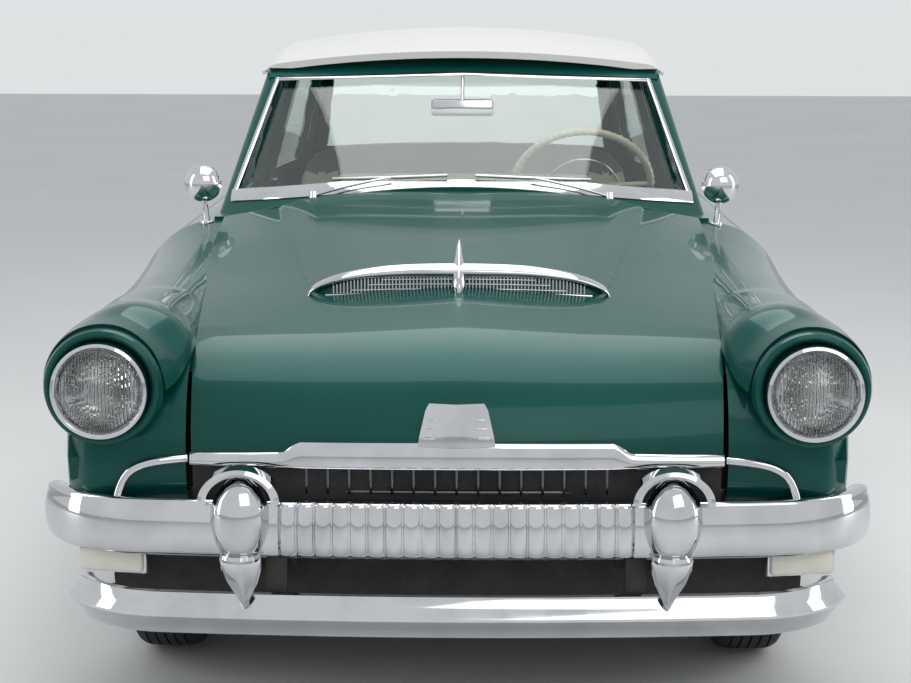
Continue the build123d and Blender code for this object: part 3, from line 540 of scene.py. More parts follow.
upper_rows = [
    (0.022, 0.574), (0.004, 0.578), (-0.006, 0.577), (-0.012, 0.571), (-0.012, 0.564), (-0.017, 0.550),
    (-0.021, 0.530), (-0.022, 0.508), (-0.020, 0.484), (-0.014, 0.462), (-0.004, 0.449), (0.010, 0.446),
    (0.022, 0.450),
]
lower_rows = [
    (0.024, 0.362), (0.008, 0.366), (0.002, 0.362), (0.000, 0.354), (-0.014, 0.338), (-0.028, 0.320),
    (-0.028, 0.314), (-0.012, 0.294), (0.002, 0.276), (0.006, 0.268), (0.014, 0.264), (0.026, 0.270),
]
upper_bar = bumper_bar(upper_rows, half_angle=5.89, corner_radius=0.286, corner_angle=57, flute=0.011)
upper_bar = rounded(upper_bar, 0.0015, segments=1, angle=50)
finished(upper_bar, "bumper_upper_bar", CHROME, smooth=50)
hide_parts("front_bumper")
lower_bar = bumper_bar(lower_rows, half_angle=5.6, corner_radius=0.245, corner_angle=60)
finished(lower_bar, "bumper_lower_bar", CHROME, smooth=30)

egg_rows = [
    (0.000, 0.458), (0.034, 0.460), (0.045, 0.468), (0.055, 0.486), (0.063, 0.512), (0.066, 0.540),
    (0.064, 0.566), (0.056, 0.592), (0.042, 0.614), (0.022, 0.630), (0.000, 0.636),
]
EGG_Y = BAR_Y + 0.004
COLLAR_Y = BAR_Y - 0.006
FANG_LENGTH = 0.116


def guard_egg():
    """The egg-shaped body of the left front guard."""
    return spun([(GUARD_X + r, EGG_Y, z) for r, z in egg_rows], (GUARD_X, EGG_Y, 0), (0, 0, 1), 48)


egg = guard_egg()
collar_rows = [(0.030, 0.446), (0.042, 0.449), (0.046, 0.456), (0.043, 0.464), (0.030, 0.466)]
collar = spun(
    [(GUARD_X + r, COLLAR_Y, z) for r, z in collar_rows], (GUARD_X, COLLAR_Y, 0), (0, 0, 1), 48, close=True
)
fang = added(
    bpy.ops.mesh.primitive_cone_add,
    vertices=4, radius1=0.049, radius2=0.004, depth=FANG_LENGTH, rotation=(math.pi, 0, 0),
)
settle(fang)
edit(fang)
bpy.ops.mesh.subdivide(number_cuts=3)
leave()
for vertex in fang.data.vertices:
    drop = (FANG_LENGTH / 2 - vertex.co.z) / FANG_LENGTH
    swell = 1 + 0.35 * math.sin(math.pi * drop)
    vertex.co.x = vertex.co.x * swell * 0.95 - 0.008 * drop
    vertex.co.y = vertex.co.y * swell * 0.8 + 0.008 * drop
fang.data.transform(Matrix.Translation((GUARD_X, BAR_Y - 0.010, 0.396)))
rounded(fang, 0.003, 2, 40)
# columns: distance from the guard's middle, depth from the bar
brow_rows = [(0.072, -0.020), (0.072, -0.032), (0.080, -0.036), (0.090, -0.030), (0.092, 0.012), (0.074, 0.012)]
brow = spun(
    [(GUARD_X + out, BAR_Y + y, BROW_Z) for out, y in brow_rows],
    (GUARD_X, 0, BROW_Z),
    (0, -1, 0),
    40,
    math.radians(180),
    close=True,
)
edit(brow)
bpy.ops.mesh.select_all(action="DESELECT")
bpy.ops.mesh.select_non_manifold()
bpy.ops.mesh.edge_face_add()
clean(brow)
for vertex in brow.data.vertices:
    vertex.co.z = BROW_Z + (vertex.co.z - BROW_Z) * 0.84
shank = block((0.060, 0.090, 0.100), (GUARD_X, BAR_Y + 0.050, 0.505), edge=0.008)
guard = joined([egg, collar, fang, brow, shank], "guard")
finished(both_sides(guard), "bumper_guards", CHROME)

bolt = cylinder(0.009, 0.006, (0.62, BAR_Y + 0.010, 0.316), (math.pi / 2, 0, 0), 24)
rounded(bolt, 0.002, 2, 40)
bolts = joined([bolt, copied(bolt, (-0.62, -0.036, -0.004))], "bolts")
finished(both_sides(bolts), "bumper_bolts", DULL_METAL)

# Brackets from the bars to the frame rails

bracket_parts = [
    block((0.050, 0.090, 0.030), (0.400, -2.448, 0.475), edge=0.004),
    block((0.050, 0.016, 0.200), (0.400, -2.470, 0.390), edge=0.003),
    block((0.050, 0.090, 0.020), (0.400, -2.444, 0.316), edge=0.004),
]
brackets = joined(bracket_parts, "brackets")
finished(both_sides(brackets), "bumper_brackets", BLACK)

# Headlamps, on the faces of the pods

LAMP_X = 0.783
LAMP_Z = 0.818
POD_X = 0.778
POD_Z = 0.830


def lamp_ring(rows, name, material, x=LAMP_X, z=LAMP_Z, close=True):
    """A shape turned about both lamps' middles; rows are radius and y."""
    ring = spun([(x + radius, y, z) for radius, y in rows], (x, 0, z), (0, 1, 0), 64, close=close)
    return finished(both_sides(ring), name, material)


rim_rows = [(0.130, -2.430), (0.131, -2.462), (0.126, -2.476), (0.119, -2.480), (0.112, -2.476), (0.100, -2.449)]
lamp_ring(rim_rows, "pod_rims", GREEN, POD_X, POD_Z - 0.006)
ring_rows = [
    (0.100, -2.449), (0.108, -2.462), (0.110, -2.478), (0.106, -2.489), (0.099, -2.492), (0.093, -2.487),
    (0.090, -2.478), (0.088, -2.470),
]
bezels = lamp_ring(ring_rows, "headlamp_rings", CHROME)
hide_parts("lamp_bezels")
bowl_rows = [(0.0895, -2.474), (0.078, -2.462), (0.055, -2.453), (0.025, -2.450), (0.0, -2.4495)]
lamp_ring(bowl_rows, "headlamp_bowls", DULL_METAL, close=False)
lens_rows = [
    (0.0, -2.503), (0.030, -2.501), (0.055, -2.496), (0.075, -2.489), (0.0885, -2.480), (0.0885, -2.476),
    (0.073, -2.485), (0.053, -2.492), (0.030, -2.497), (0.0, -2.499),
]
lenses = lamp_ring(lens_rows, "headlamp_lenses", LENS, close=False)
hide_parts("lamp_lenses")

# Fender noses, between the hood and the lamp pods and down to the bumper

NOSE_LOW_Z = 0.540
NOSE_RISE = 0.357
NOSE_INNER_X = 0.6045
NOSE_WIDTH = 0.2765
# columns: height, y of the front face, how far the face is turned back at the outer edge
nose_rows = [
    (NOSE_LOW_Z, -2.370, 0.030),
    (0.560, -2.410, 0.030),
    (0.590, -2.428, 0.034),
    (0.640, -2.434, 0.036),
    (0.700, -2.430, 0.040),
    (0.760, -2.412, 0.046),
    (0.810, -2.384, 0.050),
    (0.850, -2.348, 0.050),
    (0.880, -2.306, 0.040),
    (0.897, -2.250, 0.020),
]


def nose_place(u, v):
    """A point on the left fender's nose: u goes outwards and v upwards."""
    z = NOSE_LOW_Z + NOSE_RISE * v
    y, turned = between(nose_rows, z)
    x = NOSE_INNER_X + NOSE_WIDTH * u
    outer = max(0.0, (u - 0.72) / 0.28)
    y += turned * 2.6 * outer**2.2 + 0.012 * (1 - u) ** 2
    top = max(0.0, (v - 0.82) / 0.18)
    z -= top * 0.080 * u**1.6
    x += 0.004 * outer * math.sin(math.pi * v)
    return (x, y, z)


nose = pulled(40, 40, nose_place, 0.004)
finished(both_sides(nose), "fender_noses", GREEN, smooth=60)

# Black sheet in the dark opening behind the bars, as painted shade, and the slats of the grille

VALANCE_SHADE_HALF = 0.800
NOSE_TIP_Y = -2.453


def nose_curve(x):
    """How far back the front of the car lies at x."""
    return NOSE_TIP_Y + 0.050 * (abs(x) / 0.72) ** 2.2


def valance_shade_place(u, v):
    """A point on the black sheet behind the bumper bars, which is painted shade for the opening there."""
    x = VALANCE_SHADE_HALF * (2 * u - 1)
    z = 0.300 + 0.350 * v
    return (x, nose_curve(x) + 0.085 + 0.05 * (1 - v) ** 2, z)


# a black sheet that paints the shade of the opening behind the bars and the grille
valance_shade = pulled(48, 12, valance_shade_place, 0.004)
finished(valance_shade, "front_valance_painted_shade", BLACK, smooth=60)
slats = []
slat = block((0.006, 0.030, 0.072), (0, 0, 0.611), edge=0.0015)
for step in range(-12, 13):
    slats.append(copied(slat, (step * SLAT_PITCH, nose_curve(step * SLAT_PITCH) + 0.040, 0)))
bpy.data.objects.remove(slat)
low_rail = wire([(x / 20, nose_curve(x / 20) + 0.036, 0.578) for x in range(-14, 15)], 0.006)
grille = joined([*slats, low_rail], "grille_slats")
finished(grille, "grille_slats", SLAT_METAL)
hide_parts("grille")


def side_plate_place(u, v):
    """A point on the bright plate beside the grille."""
    x = 0.615 + 0.085 * u
    return (x, nose_curve(x) + 0.020, 0.585 + 0.050 * v)


side_plate = both_sides(pulled(8, 8, side_plate_place, 0.003))
finished(side_plate, "grille_side_plates", DULL_METAL)

# Parking lamps between the bars

parking = block((0.150, 0.050, 0.052), (0.770, -2.405, 0.421), (0, 0, math.radians(14)), 0.010)
finished(both_sides(parking), "parking_lamps", CREAM_LENS)
parking_frame = block((0.166, 0.040, 0.066), (0.771, -2.398, 0.421), (0, 0, math.radians(14)), 0.008)
finished(both_sides(parking_frame), "parking_lamp_frames", CHROME)

# Hood lip moulding with its step, and the fender mouldings beyond it

LIP_HALF = 0.594
# columns: distance from the middle, lower edge, upper edge
lip_rows = [
    (0.000, 0.642, 0.699), (0.351, 0.642, 0.697), (0.385, 0.642, 0.673), (0.500, 0.643, 0.669),
    (LIP_HALF, 0.644, 0.667),
]


def lip_place(u, v):
    """A point on the hood's lip moulding."""
    x = LIP_HALF * (2 * u - 1)
    low, high = between(lip_rows, abs(x))
    swell = 0.006 * math.sin(math.pi * v) ** 0.5
    return (x, nose_curve(x) - 0.010 - swell + 0.006 * v, low + (high - low) * v)


lip = pulled(96, 12, lip_place, 0.004)
plate_rows = [(0.699, 0.085), (0.720, 0.081), (0.775, 0.068), (0.788, 0.060)]


def badge_place(u, v):
    """A point on the bare trapezoid plate above the moulding."""
    z = 0.694 + 0.094 * v
    half = between(plate_rows, z)[0]
    x = half * (2 * u - 1)
    crest = 0.012 * (1 - abs(2 * u - 1))
    return (x, nose_curve(0) - 0.010 - crest + 0.34 * max(0.0, z - 0.70) ** 1.4, z)


badge = pulled(16, 12, badge_place, 0.005)
ribs = []
for step in range(3):
    for side in (-1, 1):
        ribs.append(
            block(
                (0.026 - 0.002 * step, 0.012, 0.005),
                (side * (0.060 - 0.004 * step), nose_curve(0) - 0.018 + 0.004 * step, 0.714 + 0.019 * step),
                edge=0.0015,
            )
        )
lip = joined([lip, badge, *ribs], "hood_lip")
finished(lip, "hood_lip_moulding", CHROME, "hood")
side_lip_points = [
    (0.602, -2.424, 0.655), (0.650, -2.440, 0.655), (0.705, -2.446, 0.650), (0.742, -2.448, 0.622),
    (0.754, -2.446, 0.575),
]
side_lip = both_sides(wire(side_lip_points, 0.010))
finished(side_lip, "fender_mouldings", CHROME)

# Hood scoop: bright lip, fine lattice under it, a black sheet behind as painted shade for the space there, and the
# fin ornament

SCOOP_Y = -1.940
SCOOP_HALF = 0.372
SCOOP_END_Z = 0.940
SCOOP_CROWN = 0.082
ARCH_POWER = 2.6


def scoop_top(x):
    """Height of the scoop mouth's upper edge at x."""
    return SCOOP_END_Z + SCOOP_CROWN * max(0.0, 1 - (abs(x) / SCOOP_HALF) ** ARCH_POWER) ** 0.5


def scoop_base(x):
    """Height of the hood under the scoop's mouth at x."""
    return 0.958 - 0.065 * x**2


def scoop_lip_place(u, v):
    """A point on the scoop's bright lip."""
    x = SCOOP_HALF * (2 * u - 1)
    band = 0.010 + 0.020 * (1 - (x / SCOOP_HALF) ** 2)
    y = SCOOP_Y - 0.006 - 0.016 * math.sin(math.pi * v) ** 0.7 + 0.012 * v
    return (x, y, scoop_top(x) + 0.007 - band * (1 - v))


scoop_lip = pulled(80, 10, scoop_lip_place, 0.003)
scoop_line = wire([(x / 40, SCOOP_Y - 0.016, scoop_base(x / 40) + 0.003) for x in range(-13, 14)], 0.005)
FIN_FOOT_Z = 0.962
fin_rows = [
    (0.0, FIN_FOOT_Z), (0.012, 0.964), (0.019, 0.985), (0.018, 1.005), (0.012, 1.040), (0.006, 1.070),
    (0.0, 1.090),
]
fin = spun([(r, 0, z) for r, z in fin_rows], (0, 0, 0), (0, 0, 1), 8)
for vertex in fin.data.vertices:
    vertex.co.y = vertex.co.y * 1.7 - 1.972 + 0.75 * (vertex.co.z - FIN_FOOT_Z)
rounded(fin, 0.001, 1, 20)
scoop = joined([scoop_lip, scoop_line, fin], "scoop")
finished(scoop, "scoop_lip_and_fin", CHROME, "hood", smooth=35)
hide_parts("hood_trim")
ribs = []
rib = block((0.0035, 0.010, 1.0), (0, 0, 0), edge=0.0008)
for step in range(-36, 37):
    x = step * 0.0085
    low, high = scoop_base(x) - 0.003, scoop_top(x) - 0.014
    if high - low > 0.004:
        twin = copied(rib, (0, 0, 0))
        twin.data.transform(
            Matrix.Translation((x, SCOOP_Y - 0.004, (low + high) / 2)) @ Matrix.Diagonal((1, 1, high - low, 1))
        )
        ribs.append(twin)
bpy.data.objects.remove(rib)
for lift in (0.012, 0.024, 0.036):
    half = 0.30 - lift * 3.2
    ribs.append(
        wire([(half * k / 8, SCOOP_Y - 0.008, scoop_base(half * k / 8) + lift) for k in range(-8, 9)], 0.0018)
    )
lattice = joined(ribs, "lattice")
finished(lattice, "scoop_lattice", DULL_METAL, "hood")


def scoop_shade_place(u, v):
    """A point on the black sheet behind the scoop's lattice, painted shade for the hollow behind it."""
    x = 0.345 * (2 * u - 1)
    low, high = scoop_base(x) - 0.01, scoop_top(x) - 0.008
    return (x, SCOOP_Y + 0.006, low + v * (high - low))


# a black sheet as painted shade in the scoop's hollow
scoop_shade = pulled(40, 4, scoop_shade_place, 0.003)
finished(scoop_shade, "scoop_painted_shade", BLACK, "hood")

# Windscreen surround, header band, wipers and mirrors

FACE_LOW_Z = 1.035
FACE_RISE = 0.425
LOW_STRIP_HALF = 0.672
HIGH_STRIP_HALF = 0.572
HEADER_HALF = 0.598


def screen_y(x, z):
    """The cabin's front face at x and height z."""
    share = (z - FACE_LOW_Z) / FACE_RISE
    middle = -1.337 + 0.682 * share
    corner_x = 0.710 - 0.110 * share
    corner_y = -1.025 + 0.450 * share
    rise = corner_y - middle
    arc = (corner_x**2 + rise**2) / (2 * rise)
    return middle + arc - math.sqrt(max(0.0, arc**2 - x**2))


screen_low = [(0.0, 1.160), (0.350, 1.149), (0.660, 1.116), (0.690, 1.110)]
screen_high = [(0.0, 1.446), (0.566, 1.426), (0.600, 1.424)]


def low_strip_place(u, v):
    """A point on the bright strip under the windscreen."""
    x = LOW_STRIP_HALF * (2 * u - 1)
    z = between(screen_low, abs(x))[0] - 0.026 + 0.030 * v
    return (x, screen_y(x, z) - 0.003 - 0.008 * math.sin(math.pi * v), z)


def high_strip_place(u, v):
    """A point on the narrow strip over the windscreen."""
    x = HIGH_STRIP_HALF * (2 * u - 1)
    z = between(screen_high, abs(x))[0] - 0.003 + 0.011 * v
    return (x, screen_y(x, z) - 0.002 - 0.005 * math.sin(math.pi * v), z)


def side_strip_place(u, v):
    """A point on the strip up the windscreen's left side."""
    z = 1.106 + 0.326 * u
    x = 0.663 - 0.094 * (z - 1.116) / 0.310 + 0.012 * (v - 0.5)
    return (x, screen_y(x, z) - 0.002 - 0.005 * math.sin(math.pi * v), z)


side_strip = both_sides(pulled(24, 6, side_strip_place, 0.003))
surround = joined(
    [pulled(96, 8, low_strip_place, 0.003), pulled(96, 6, high_strip_place, 0.003), side_strip], "surround"
)
finished(surround, "windscreen_surround", CHROME)


def header_place(u, v):
    """A point on the painted band between the windscreen and the roof."""
    x = HEADER_HALF * (2 * u - 1)
    z = between(screen_high, abs(x))[0] + 0.006 + v * (0.012 + 0.046 * (1 - (x / HEADER_HALF) ** 2))
    return (x, screen_y(x, z) - 0.001, z)


header = pulled(64, 6, header_place, 0.003)
finished(header, "header_band", GREEN, smooth=60)

WIPER_PIVOT_X = 0.420


def blade_point(side, share):
    """A point along a wiper blade, from its outer end to its inner one."""
    across = 0.37 - 0.33 * share
    return (side * across, screen_y(across, 1.168 + 0.006 * share) - 0.014, 1.160 + 0.016 * share)


# columns: distance from the middle, height that the screen is read at, gap to the screen, height
arm_rows = [(0.36, 1.135, 0.034, 1.140), (0.24, 1.160, 0.030, 1.164), (0.20, 1.168, 0.022, 1.170)]
arms = []
for side in (1, -1):
    pivot = (side * WIPER_PIVOT_X, screen_y(WIPER_PIVOT_X, 1.118) - 0.030, 1.118)
    arms.append(cylinder(0.011, 0.022, pivot, (math.radians(-25), 0, 0), 24))
    arm = [(side * across, screen_y(across, read_z) - gap, z) for across, read_z, gap, z in arm_rows]
    arms.append(wire([pivot, *arm], 0.0042))
    arms.append(wire([blade_point(side, k / 6) for k in range(7)], 0.0048))
wipers = joined(arms, "wipers")
finished(wipers, "wipers", CHROME)

glass_mirror = block((0.185, 0.022, 0.052), (0.0, -0.800, 1.350), (math.radians(-8), 0, 0), 0.010)
hanger = wire([(0, -0.790, 1.370), (0, -0.770, 1.400), (0, -0.700, 1.438)], 0.005)
inside_mirror = joined([glass_mirror, hanger], "inside_mirror")
finished(inside_mirror, "inside_mirror", DULL_METAL)

MIRROR_X = 0.736
MIRROR_Y = -1.130
MIRROR_Z = 1.150
shell_rows = [
    (0.0, -0.030), (0.018, -0.028), (0.034, -0.020), (0.046, -0.006), (0.052, 0.010), (0.053, 0.020),
    (0.049, 0.022), (0.047, 0.014), (0.0, 0.012),
]
shell = spun(
    [(MIRROR_X + r, MIRROR_Y + y, MIRROR_Z) for r, y in shell_rows], (MIRROR_X, 0, MIRROR_Z), (0, 1, 0), 48
)
stalk_rows = [(0.0, 0.004, 1.125), (-0.004, 0.010, 1.090), (-0.010, 0.006, 1.060), (-0.012, 0.002, 1.028)]
stalk = wire([(MIRROR_X + x, MIRROR_Y + y, z) for x, y, z in stalk_rows], 0.009)
foot = cylinder(0.020, 0.012, (MIRROR_X - 0.012, MIRROR_Y + 0.002, 1.040))
rounded(foot, 0.003, 2, 40)
mirrors = both_sides(joined([shell, stalk, foot], "mirrors"))
finished(mirrors, "fender_mirrors", CHROME)
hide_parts("mirrors")

# Tyres with a grooved tread and a white band, and bright wheel covers

tyre_half = [
    (0.2035, 0.060), (0.212, 0.074), (0.235, 0.085), (0.265, 0.0895), (0.300, 0.0895), (0.328, 0.084),
    (0.344, 0.074), (0.3515, 0.062), (0.3545, 0.050), (0.3475, 0.0495), (0.3475, 0.0455), (0.3548, 0.045),
    (0.3549, 0.026), (0.3480, 0.0255), (0.3480, 0.0215), (0.3550, 0.021), (0.3550, 0.003), (0.3480, 0.0025),
]
cover_rows = [
    (0.0, 0.086), (0.022, 0.085), (0.040, 0.080), (0.052, 0.070), (0.062, 0.067), (0.085, 0.070),
    (0.105, 0.069), (0.122, 0.062), (0.133, 0.058), (0.139, 0.060), (0.142, 0.066), (0.140, 0.050), (0.0, 0.048),
]
for end, half_track, axle_y in (("front", HALF_TRACK_FRONT, FRONT_AXLE_Y), ("rear", HALF_TRACK_REAR, REAR_AXLE_Y)):
    for side_name, side in SIDES:
        hub = (side * half_track, axle_y, TYRE_RADIUS)
        rows = tyre_half + [(r, -w) for r, w in tyre_half[::-1]]
        tyre = spun([(hub[0] + w, hub[1], hub[2] + r) for r, w in rows], hub, (1, 0, 0), 96, close=True)
        body = f"wheel_{end}_{side_name}"
        finished(tyre, f"road_tyre_{end}_{side_name}", TYRE, body, smooth=30)
        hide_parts(f"tyre_{end}_{side_name}")
        band = [(0.226, 0.083), (0.228, 0.0865), (0.262, 0.0912), (0.296, 0.0915), (0.299, 0.0895)]
        white = spun([(hub[0] + side * w, hub[1], hub[2] + r) for r, w in band], hub, (1, 0, 0), 96)
        finished(white, f"tyre_band_{end}_{side_name}", WHITE_RUBBER, body)
        cover = spun([(hub[0] + side * w, hub[1], hub[2] + r) for r, w in cover_rows], hub, (1, 0, 0), 64)
        finished(cover, f"wheel_cover_{end}_{side_name}", CHROME, body, smooth=30)

# Benches: cushions and backs with sewn channels, and a darker roll along each back


def pad(size, place, lean, channels, name, top_band=None):
    """A padded block with rounded sides, a crown and sewn channels on its seating face."""
    piece = added(bpy.ops.mesh.primitive_cube_add, size=2)
    edit(piece)
    bpy.ops.mesh.subdivide(number_cuts=40)
    leave()
    width, depth, tall = size
    for vertex in piece.data.vertices:
        x, y, z = vertex.co
        fit = (abs(x) ** 7 + abs(y) ** 5 + abs(z) ** 5) ** (-1 / 5.5)
        x, y, z = x * min(1.0, fit), y * min(1.0, fit), z * min(1.0, fit)
        crown = 0.010 * (1 - x * x) * (1 - y * y)
        groove = 0.006 * abs(math.sin(math.pi * channels * x / 2)) ** 0.35 - 0.006
        seat = groove if abs(x) < 0.9 else 0
        # a cushion is sewn on its top, a back on its front
        if depth > tall:
            place_z = z * tall / 2 + (crown + seat if z > 0.5 else 0)
            vertex.co = (x * width / 2, y * depth / 2, place_z)
        else:
            place_y = y * depth / 2 - (crown + seat if y < -0.5 and z < 0.45 else 0)
            vertex.co = (x * width / 2, place_y, z * tall / 2)
    piece.data.transform(Matrix.Translation(Vector(place)) @ Matrix.Rotation(math.radians(lean), 4, "X"))
    finished(piece, name, CREAM_VINYL, smooth=70)
    if top_band:
        piece.data.materials.append(GREEN_VINYL)
        for face in piece.data.polygons:
            if face.center.z > top_band:
                face.material_index = 1
    return piece


pad((1.12, 0.49, 0.130), (0, -0.285, 0.548), 3, 18, "front_cushion")
front_back = pad((1.12, 0.105, 0.600), (0, -0.050, 0.890), -14, 18, "front_seat_back", 1.090)
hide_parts("front_bench")
pad((1.12, 0.49, 0.140), (0, 0.645, 0.554), 3, 18, "rear_cushion")
rear_back = pad((1.12, 0.105, 0.450), (0, 0.880, 0.830), -14, 18, "rear_seat_back", 0.960)
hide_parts("rear_bench")

# Steering wheel: a rim with finger notches, two spokes and a bright horn ring

WHEEL = Vector((0.373, -0.580, 1.090))
TILT = Matrix.Rotation(math.radians(-58), 4, "X")
RIM_RADIUS = 0.215
FINGER_NOTCHES = 60
ring = added(
    bpy.ops.mesh.primitive_torus_add,
    major_segments=240, minor_segments=14, major_radius=RIM_RADIUS, minor_radius=0.0115,
)
for vertex in ring.data.vertices:
    around = math.atan2(vertex.co.y, vertex.co.x)
    middle = Vector((math.cos(around), math.sin(around), 0)) * RIM_RADIUS
    vertex.co = middle + (vertex.co - middle) * (1 + 0.10 * math.cos(FINGER_NOTCHES * around))
spoke_parts = [ring]
for side in (1, -1):
    spoke = [(0, 0, -0.004), (side * 0.08, -0.012, -0.006), (side * 0.15, -0.020, -0.002), (side * 0.214, -0.018, 0)]
    spoke_parts.append(wire(spoke, 0.008))
hub_rows = [(0, 0.012), (0.020, 0.011), (0.034, 0.004), (0.038, -0.012), (0.034, -0.020), (0, -0.020)]
hub = spun([(r, 0, z) for r, z in hub_rows], (0, 0, 0), (0, 0, 1), 40)
steering = joined([*spoke_parts, hub], "steering")
steering.data.transform(Matrix.Translation(WHEEL) @ TILT)
finished(steering, "steering_rim", IVORY, "steering_wheel")
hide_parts("steering_wheel")
horn = added(
    bpy.ops.mesh.primitive_torus_add, major_segments=96, minor_segments=10, major_radius=0.110, minor_radius=0.0035
)
horn_rows = [(0, 0.019), (0.014, 0.017), (0.024, 0.012), (0.024, 0.009), (0, 0.009)]
horn_cap = spun([(r, 0, z) for r, z in horn_rows], (0, 0, 0), (0, 0, 1), 32)
horn = joined([horn, horn_cap], "horn")
horn.data.transform(Matrix.Translation(WHEEL) @ TILT)
finished(horn, "horn_ring", CHROME, "steering_wheel")

# Rear bumper, its guards and the tail lamps


def turned_back(piece):
    """Moves a front piece to the rear of the car."""
    piece.data.transform(Matrix.Diagonal((1, -1, 1, 1)))
    return clean(piece)


rear_bar = turned_back(bumper_bar(upper_rows, half_angle=5.89, corner_radius=0.286, corner_angle=57))
finished(rear_bar, "rear_bumper_bar", CHROME, smooth=30)
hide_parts("rear_bumper")
rear_egg = guard_egg()
rear_shank = block((0.060, 0.110, 0.060), (GUARD_X, BAR_Y + 0.060, 0.500), edge=0.008)
rear_guards = both_sides(turned_back(joined([rear_egg, rear_shank], "rear_guards")))
finished(rear_guards, "rear_bumper_guards", CHROME)
rear_arm = both_sides(block((0.050, 0.120, 0.054), (0.400, 2.440, 0.480), edge=0.004))
finished(rear_arm, "rear_bumper_brackets", BLACK)

TAIL_LAMP_X = 0.740
TAIL_LAMP_Z = 0.740


def tail_lamp(rows, name, material, close):
    """An upright oval shape turned about both tail lamps' middles."""
    middle = (TAIL_LAMP_X, 0, TAIL_LAMP_Z)
    lamp = spun([(TAIL_LAMP_X + r, y, TAIL_LAMP_Z) for r, y in rows], middle, (0, 1, 0), 56, close=close)
    for vertex in lamp.data.vertices:
        vertex.co.x = TAIL_LAMP_X + (vertex.co.x - TAIL_LAMP_X) * 0.74
    return finished(both_sides(lamp), name, material)


red = tail_lamp(
    [(0.0, 2.476), (0.025, 2.474), (0.048, 2.465), (0.064, 2.450), (0.070, 2.430), (0.0, 2.430)],
    "tail_lamp_lenses", RED, close=False,
)
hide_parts("tail_lamps")
tail_lamp(
    [(0.068, 2.430), (0.069, 2.447), (0.074, 2.453), (0.080, 2.450), (0.083, 2.438), (0.083, 2.425)],
    "tail_lamp_rims", CHROME, close=True,
)

# Side trim, door handles and drip rails, each part on the panel that carries it

TRIM_Z = 0.800
HANDLE_Z = 0.875
# columns: y, x of the body side at the trim's height
side_rows = [
    (-2.300, 0.888), (-1.708, 0.914), (-1.100, 0.920), (-0.020, 0.920), (0.980, 0.920), (1.700, 0.908),
    (2.300, 0.880), (2.428, 0.868),
]


def trim_strip(start, end, body, name, side):
    """One length of the bright side moulding."""

    def place(u, v):
        y = start + (end - start) * u
        x = between(side_rows, y)[0]
        return (side * (x + 0.003 + 0.006 * math.sin(math.pi * v)), y, TRIM_Z + 0.022 * (v - 0.5))

    strip = pulled(24, 6, place, 0.003)
    finished(strip, name, CHROME, body)


# columns: x, y from the handle's middle, height
grip_rows = [
    (0.922, -0.075, HANDLE_Z), (0.940, -0.060, 0.876), (0.941, 0.0, 0.876), (0.940, 0.050, 0.876),
    (0.922, 0.062, HANDLE_Z),
]
# columns: panel, front end and rear end of its length of trim, and the panel's body on each side
trim_rows = [
    ("fender", -2.250, -1.112, ("car_body", "car_body")),
    ("front_door", -1.094, -0.029, ("door_front_left", "door_front_right")),
    ("rear_door", -0.011, 0.974, ("door_rear_left", "door_rear_right")),
    ("quarter", 0.992, 2.300, ("car_body", "car_body")),
]
for place, (side_name, side) in enumerate(SIDES):
    for panel, start, end, bodies in trim_rows:
        trim_strip(start, end, bodies[place], f"side_trim_{panel}_{side_name}", side)
    for end, handle_y in (("front", -0.150), ("rear", 0.850)):
        grip = [(side * x, handle_y + y, z) for x, y, z in grip_rows]
        bar = wire(grip, 0.007)
        button = cylinder(0.013, 0.026, (side * 0.926, handle_y + 0.080, HANDLE_Z), (0, math.pi / 2, 0), 28)
        rounded(button, 0.003, 2, 40)
        handle = joined([bar, button], "handle")
        finished(handle, f"door_handle_{end}_{side_name}", CHROME, f"door_{end}_{side_name}")
rail_points = [
    (0.612, -0.600, 1.446), (0.631, -0.250, 1.447), (0.634, 0.120, 1.447), (0.612, 0.550, 1.447),
    (0.580, 0.830, 1.446),
]
rail = both_sides(wire(rail_points, 0.006))
finished(rail, "drip_rails", CHROME)
lock_rows = [(0.0, 2.452), (0.012, 2.450), (0.016, 2.440), (0.0, 2.438)]
lid_bar = block((0.200, 0.016, 0.030), (0.0, 2.446, 0.700), edge=0.005)
lid_lock = spun([(r, y, 0.760) for r, y in lock_rows], (0, 0, 0.760), (0, 1, 0), 32)
lid_handle = joined([lid_bar, lid_lock], "lid_handle")
finished(lid_handle, "trunk_handle", CHROME, "trunk_lid")

# Hood: one smooth panel from the cowl over the nose, with a raised middle behind the scoop

RAISE_START_Y = -1.938
COWL_Y = -1.125
HOOD_BACK_Y = -1.201
HOOD_BACK_HALF = 0.674
NOSE_START_Y = -2.150
NOSE_SHARE = 0.42
NEAR_X = 0.35
FAR_X = 0.72
# columns: y, height at the middle, and how much lower the hood is at NEAR_X and at FAR_X
hood_rows = [
    (NOSE_START_Y, 0.918, 0.006, 0.020), (-2.000, 0.952, 0.009, 0.034), (-1.700, 1.014, 0.014, 0.058),
    (-1.400, 1.078, 0.017, 0.073), (COWL_Y, 1.133, 0.020, 0.088),
]
# columns: share of the way down the nose, y, height
nose_line = [
    (0.00, NOSE_START_Y, 0.918), (0.18, -2.228, 0.896), (0.36, -2.300, 0.865), (0.54, -2.360, 0.822),
    (0.72, -2.408, 0.765), (0.86, -2.436, 0.708), (1.00, -2.450, 0.655),
]


def hood_side_drop(x, near_drop, far_drop):
    """How much lower the hood is at x than at its middle."""
    share = abs(x) / FAR_X
    far = far_drop * share**2.1
    near = near_drop * (abs(x) / NEAR_X) ** 1.6
    return near + (far - near) * min(1.0, share * 1.3)


def hood_crease(x):
    """How far the hood stands up towards the crease down its middle."""
    return 0.010 * max(0.0, 1 - abs(x) / 0.30)


